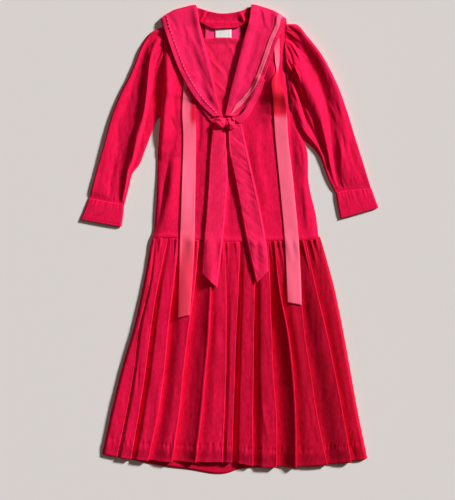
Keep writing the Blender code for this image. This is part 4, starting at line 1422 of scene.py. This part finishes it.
lay.add(flap(), 0)
for name, shape, wall, cloths, slot, node in (
    ("back_bodice", back_bodice, CLOTH, [painted_shade_neck_inside, crimson], "crimson_cloth_inside", "bodice_back"),
    ("back_skirt", back_skirt, CLOTH, [inside, skirt_cord], "crimson_cloth_inside", "skirt_back"),
    ("satin_neck_facing", neck_facing, SATIN, [lining], "pink_satin", "neck_facing"),
    ("plain_label", neck_label, SATIN, [white_label], "white_label", "neck_label"),
    ("stand_collar", collar_stand, CLOTH, [crimson], "crimson_cloth", "collar_stand"),
    ("modesty_panel", modesty_panel, CLOTH, [tie_cord], "crimson_cloth", "dickey"),
    ("front_skirt", front_skirt, CLOTH, [skirt_cord, inside], "crimson_cloth", "skirt_front"),
):
    lay_piece(name, [shape()], wall, cloths, slot, node)
lay_piece("front_bodice", front_bodice(), CLOTH, [crimson, inside], "crimson_cloth", "bodice_front")

for side, table, form, side_table, creases, outward in (
    ("left", SLEEVE_LEFT, LEFT_SLEEVE_FORM, BODICE_LEFT, LEFT_SLEEVE_CREASES, -1),
    ("right", SLEEVE_RIGHT, RIGHT_SLEEVE_FORM, BODICE_RIGHT, RIGHT_SLEEVE_CREASES, 1),
):
    points = sleeve(table, form, side_table, creases, outward)
    add_piece(f"{side}_sleeve", [points], CLOTH, [crimson], "crimson_cloth", f"sleeve_{side}", False)

for side, table, sleeve_table, outward in (
    ("left", CUFF_LEFT, SLEEVE_LEFT, -1),
    ("right", CUFF_RIGHT, SLEEVE_RIGHT, 1),
):
    points = cuff(table, sleeve_table, outward)
    add_piece(f"{side}_cuff", [points], CLOTH, [crimson], "crimson_cloth", f"cuff_{side}", False)

for side, table, rows, seed, cloth in (
    ("left", RIBBON_LEFT, 200, 71, left_satin),
    ("right", RIBBON_RIGHT, 220, 72, right_satin),
):
    points = ribbon(table, rows, seed)
    lay_piece(f"{side}_streamer", [points], SATIN, [cloth], "pink_satin", f"ribbon_{side}")

for side, table, rows, tilt in (
    ("left", TIE_NECK_LEFT, 50, 0.0),
    ("right", TIE_NECK_RIGHT, 60, 4.5),
):
    points = tie_band(table, rows, tilt)
    name, node = f"{side}_tie_band", f"tie_band_{side}"
    lay_piece(name, [points], DOUBLE_CLOTH, [turned_cord], "crimson_cloth", node)

for side, table, lean, seed in (
    ("left", TIE_TAIL_LEFT, 1.1, 81),
    ("right", TIE_TAIL_RIGHT, -1.0, 84),
):
    points = tie_tail(table, lean, seed)
    name, node = f"{side}_tie_tail", f"tie_tail_{side}"
    lay_piece(name, [points], DOUBLE_CLOTH, [tie_cord], "crimson_cloth", node)
lay_piece("tie_knot_lumps", [knot()], DOUBLE_CLOTH, [tie_cord], "crimson_cloth", "tie_knot")

collar, left_columns, right_columns = whole_collar()
add_piece("sailor_collar_cloth", [collar], DOUBLE_CLOTH, [turned_cord], "crimson_cloth", "sailor_collar")

trim_start, trim_end = left_columns + 2, collar.shape[1] - 1
lift = DOUBLE_CLOTH + LAYER_GAP
insets = np.linspace(TRIM_INSET, TRIM_INSET + TRIM_WIDTH, TRIM_ROWS)
trim = on_collar(collar, insets, trim_start, trim_end, lift)
add_piece("satin_collar_trim", [trim], SATIN, [pink_satin], "pink_satin", "collar_trim")

edging = puckered_edging(collar, trim_start)
add_piece(
    "puckered_collar_edging", [edging], EDGING_WALL, [turned_cord], "crimson_cloth", "collar_trim"
)

# Rows of stitches: line, spacing, share of it before the first, size and thread
beside_trim = on_collar(collar, [TRIM_INSET - 4], trim_start, trim_end, lift)[0]
on_trim = on_collar(collar, [TRIM_INSET + 5], trim_start, trim_end, lift + SATIN)[0]
on_edging = edging[TRIM_ROWS // 2, 4:-4] + (0, 0, EDGING_WALL)
for name, line, spacing, first, size, cloth in (
    ("trim_stitches", beside_trim[-right_columns + 4 :], 9, 0.5, (3.6, 0.9, 0.8), crimson_thread),
    ("stitches_on_the_trim", on_trim[-right_columns // 2 :], 8.2, 0.5, (2.4, 1.6, 0.7), deep_thread),
    # The last two rows are dots on the left leaf's edging: the pink ones on the pucker tops are partly
    # painted highlight, the dark ones in the hollows partly painted shade.
    ("edging_dots_with_painted_highlight", on_edging, EDGING_PITCH, 0.5, (3.6, 4.4, 0.6), crimson_thread),
    ("sunk_edging_dots_with_painted_shade", on_edging, EDGING_PITCH, 1.0, (3.6, 4.4, 0.7), painted_shade_thread),
):
    pieces[name] = stitches(name, line, spacing, first, size, cloth)
    dress(pieces[name], "crimson_cloth")

# Floor, light and camera


def floor():
    bm = bmesh.new()
    bmesh.ops.create_grid(bm, x_segments=1, y_segments=1, size=FLOOR_SIZE)
    bmesh.ops.translate(bm, vec=(0, 0, -FLOOR_DROP), verts=bm.verts)
    mesh = as_mesh(bm, "pale_floor")
    finish = Finish("pale floor", 0.9)
    finish.shader.inputs["Base Color"].default_value = (0.74, 0.72, 0.70, 1)
    mesh.materials.append(finish.material)
    put("pale_floor", mesh)


def soft_light(name, azimuth, elevation, strength, spread):
    """Even light from one side, soft like that of a large diffuser far away."""
    lamp = bpy.data.lights.new(name, "SUN")
    lamp.angle = math.radians(spread)
    lamp.energy = strength
    around, up = math.radians(azimuth), math.radians(elevation)
    flat = math.cos(up)
    way = Vector((flat * math.cos(around), flat * math.sin(around), math.sin(up)))
    put(name, lamp).rotation_euler = way.to_track_quat("Z", "Y").to_euler()


def world_fill(strength):
    world = bpy.data.worlds.new("studio")
    world.use_nodes = True
    sky = world.node_tree.nodes["Background"]
    sky.inputs["Color"].default_value = (1.0, 0.52, 0.38, 1)
    sky.inputs["Strength"].default_value = strength
    bpy.context.scene.world = world


def camera():
    eye = bpy.data.cameras.new("overhead")
    eye.sensor_fit = "VERTICAL"
    eye.sensor_height = SENSOR
    eye.lens = SENSOR / 2 * CAMERA_HEIGHT / (FRAME_LENGTH / 2)
    overhead = put("overhead", eye)
    overhead.location = (*FRAME_CENTRE, CAMERA_HEIGHT)
    bpy.context.scene.camera = overhead


floor()
soft_light("key", azimuth=33, elevation=24, strength=6.0, spread=8)
soft_light("top", azimuth=100, elevation=65, strength=0.18, spread=40)
world_fill(strength=0.08)
camera()
bpy.context.scene.view_settings.view_transform = "Standard"
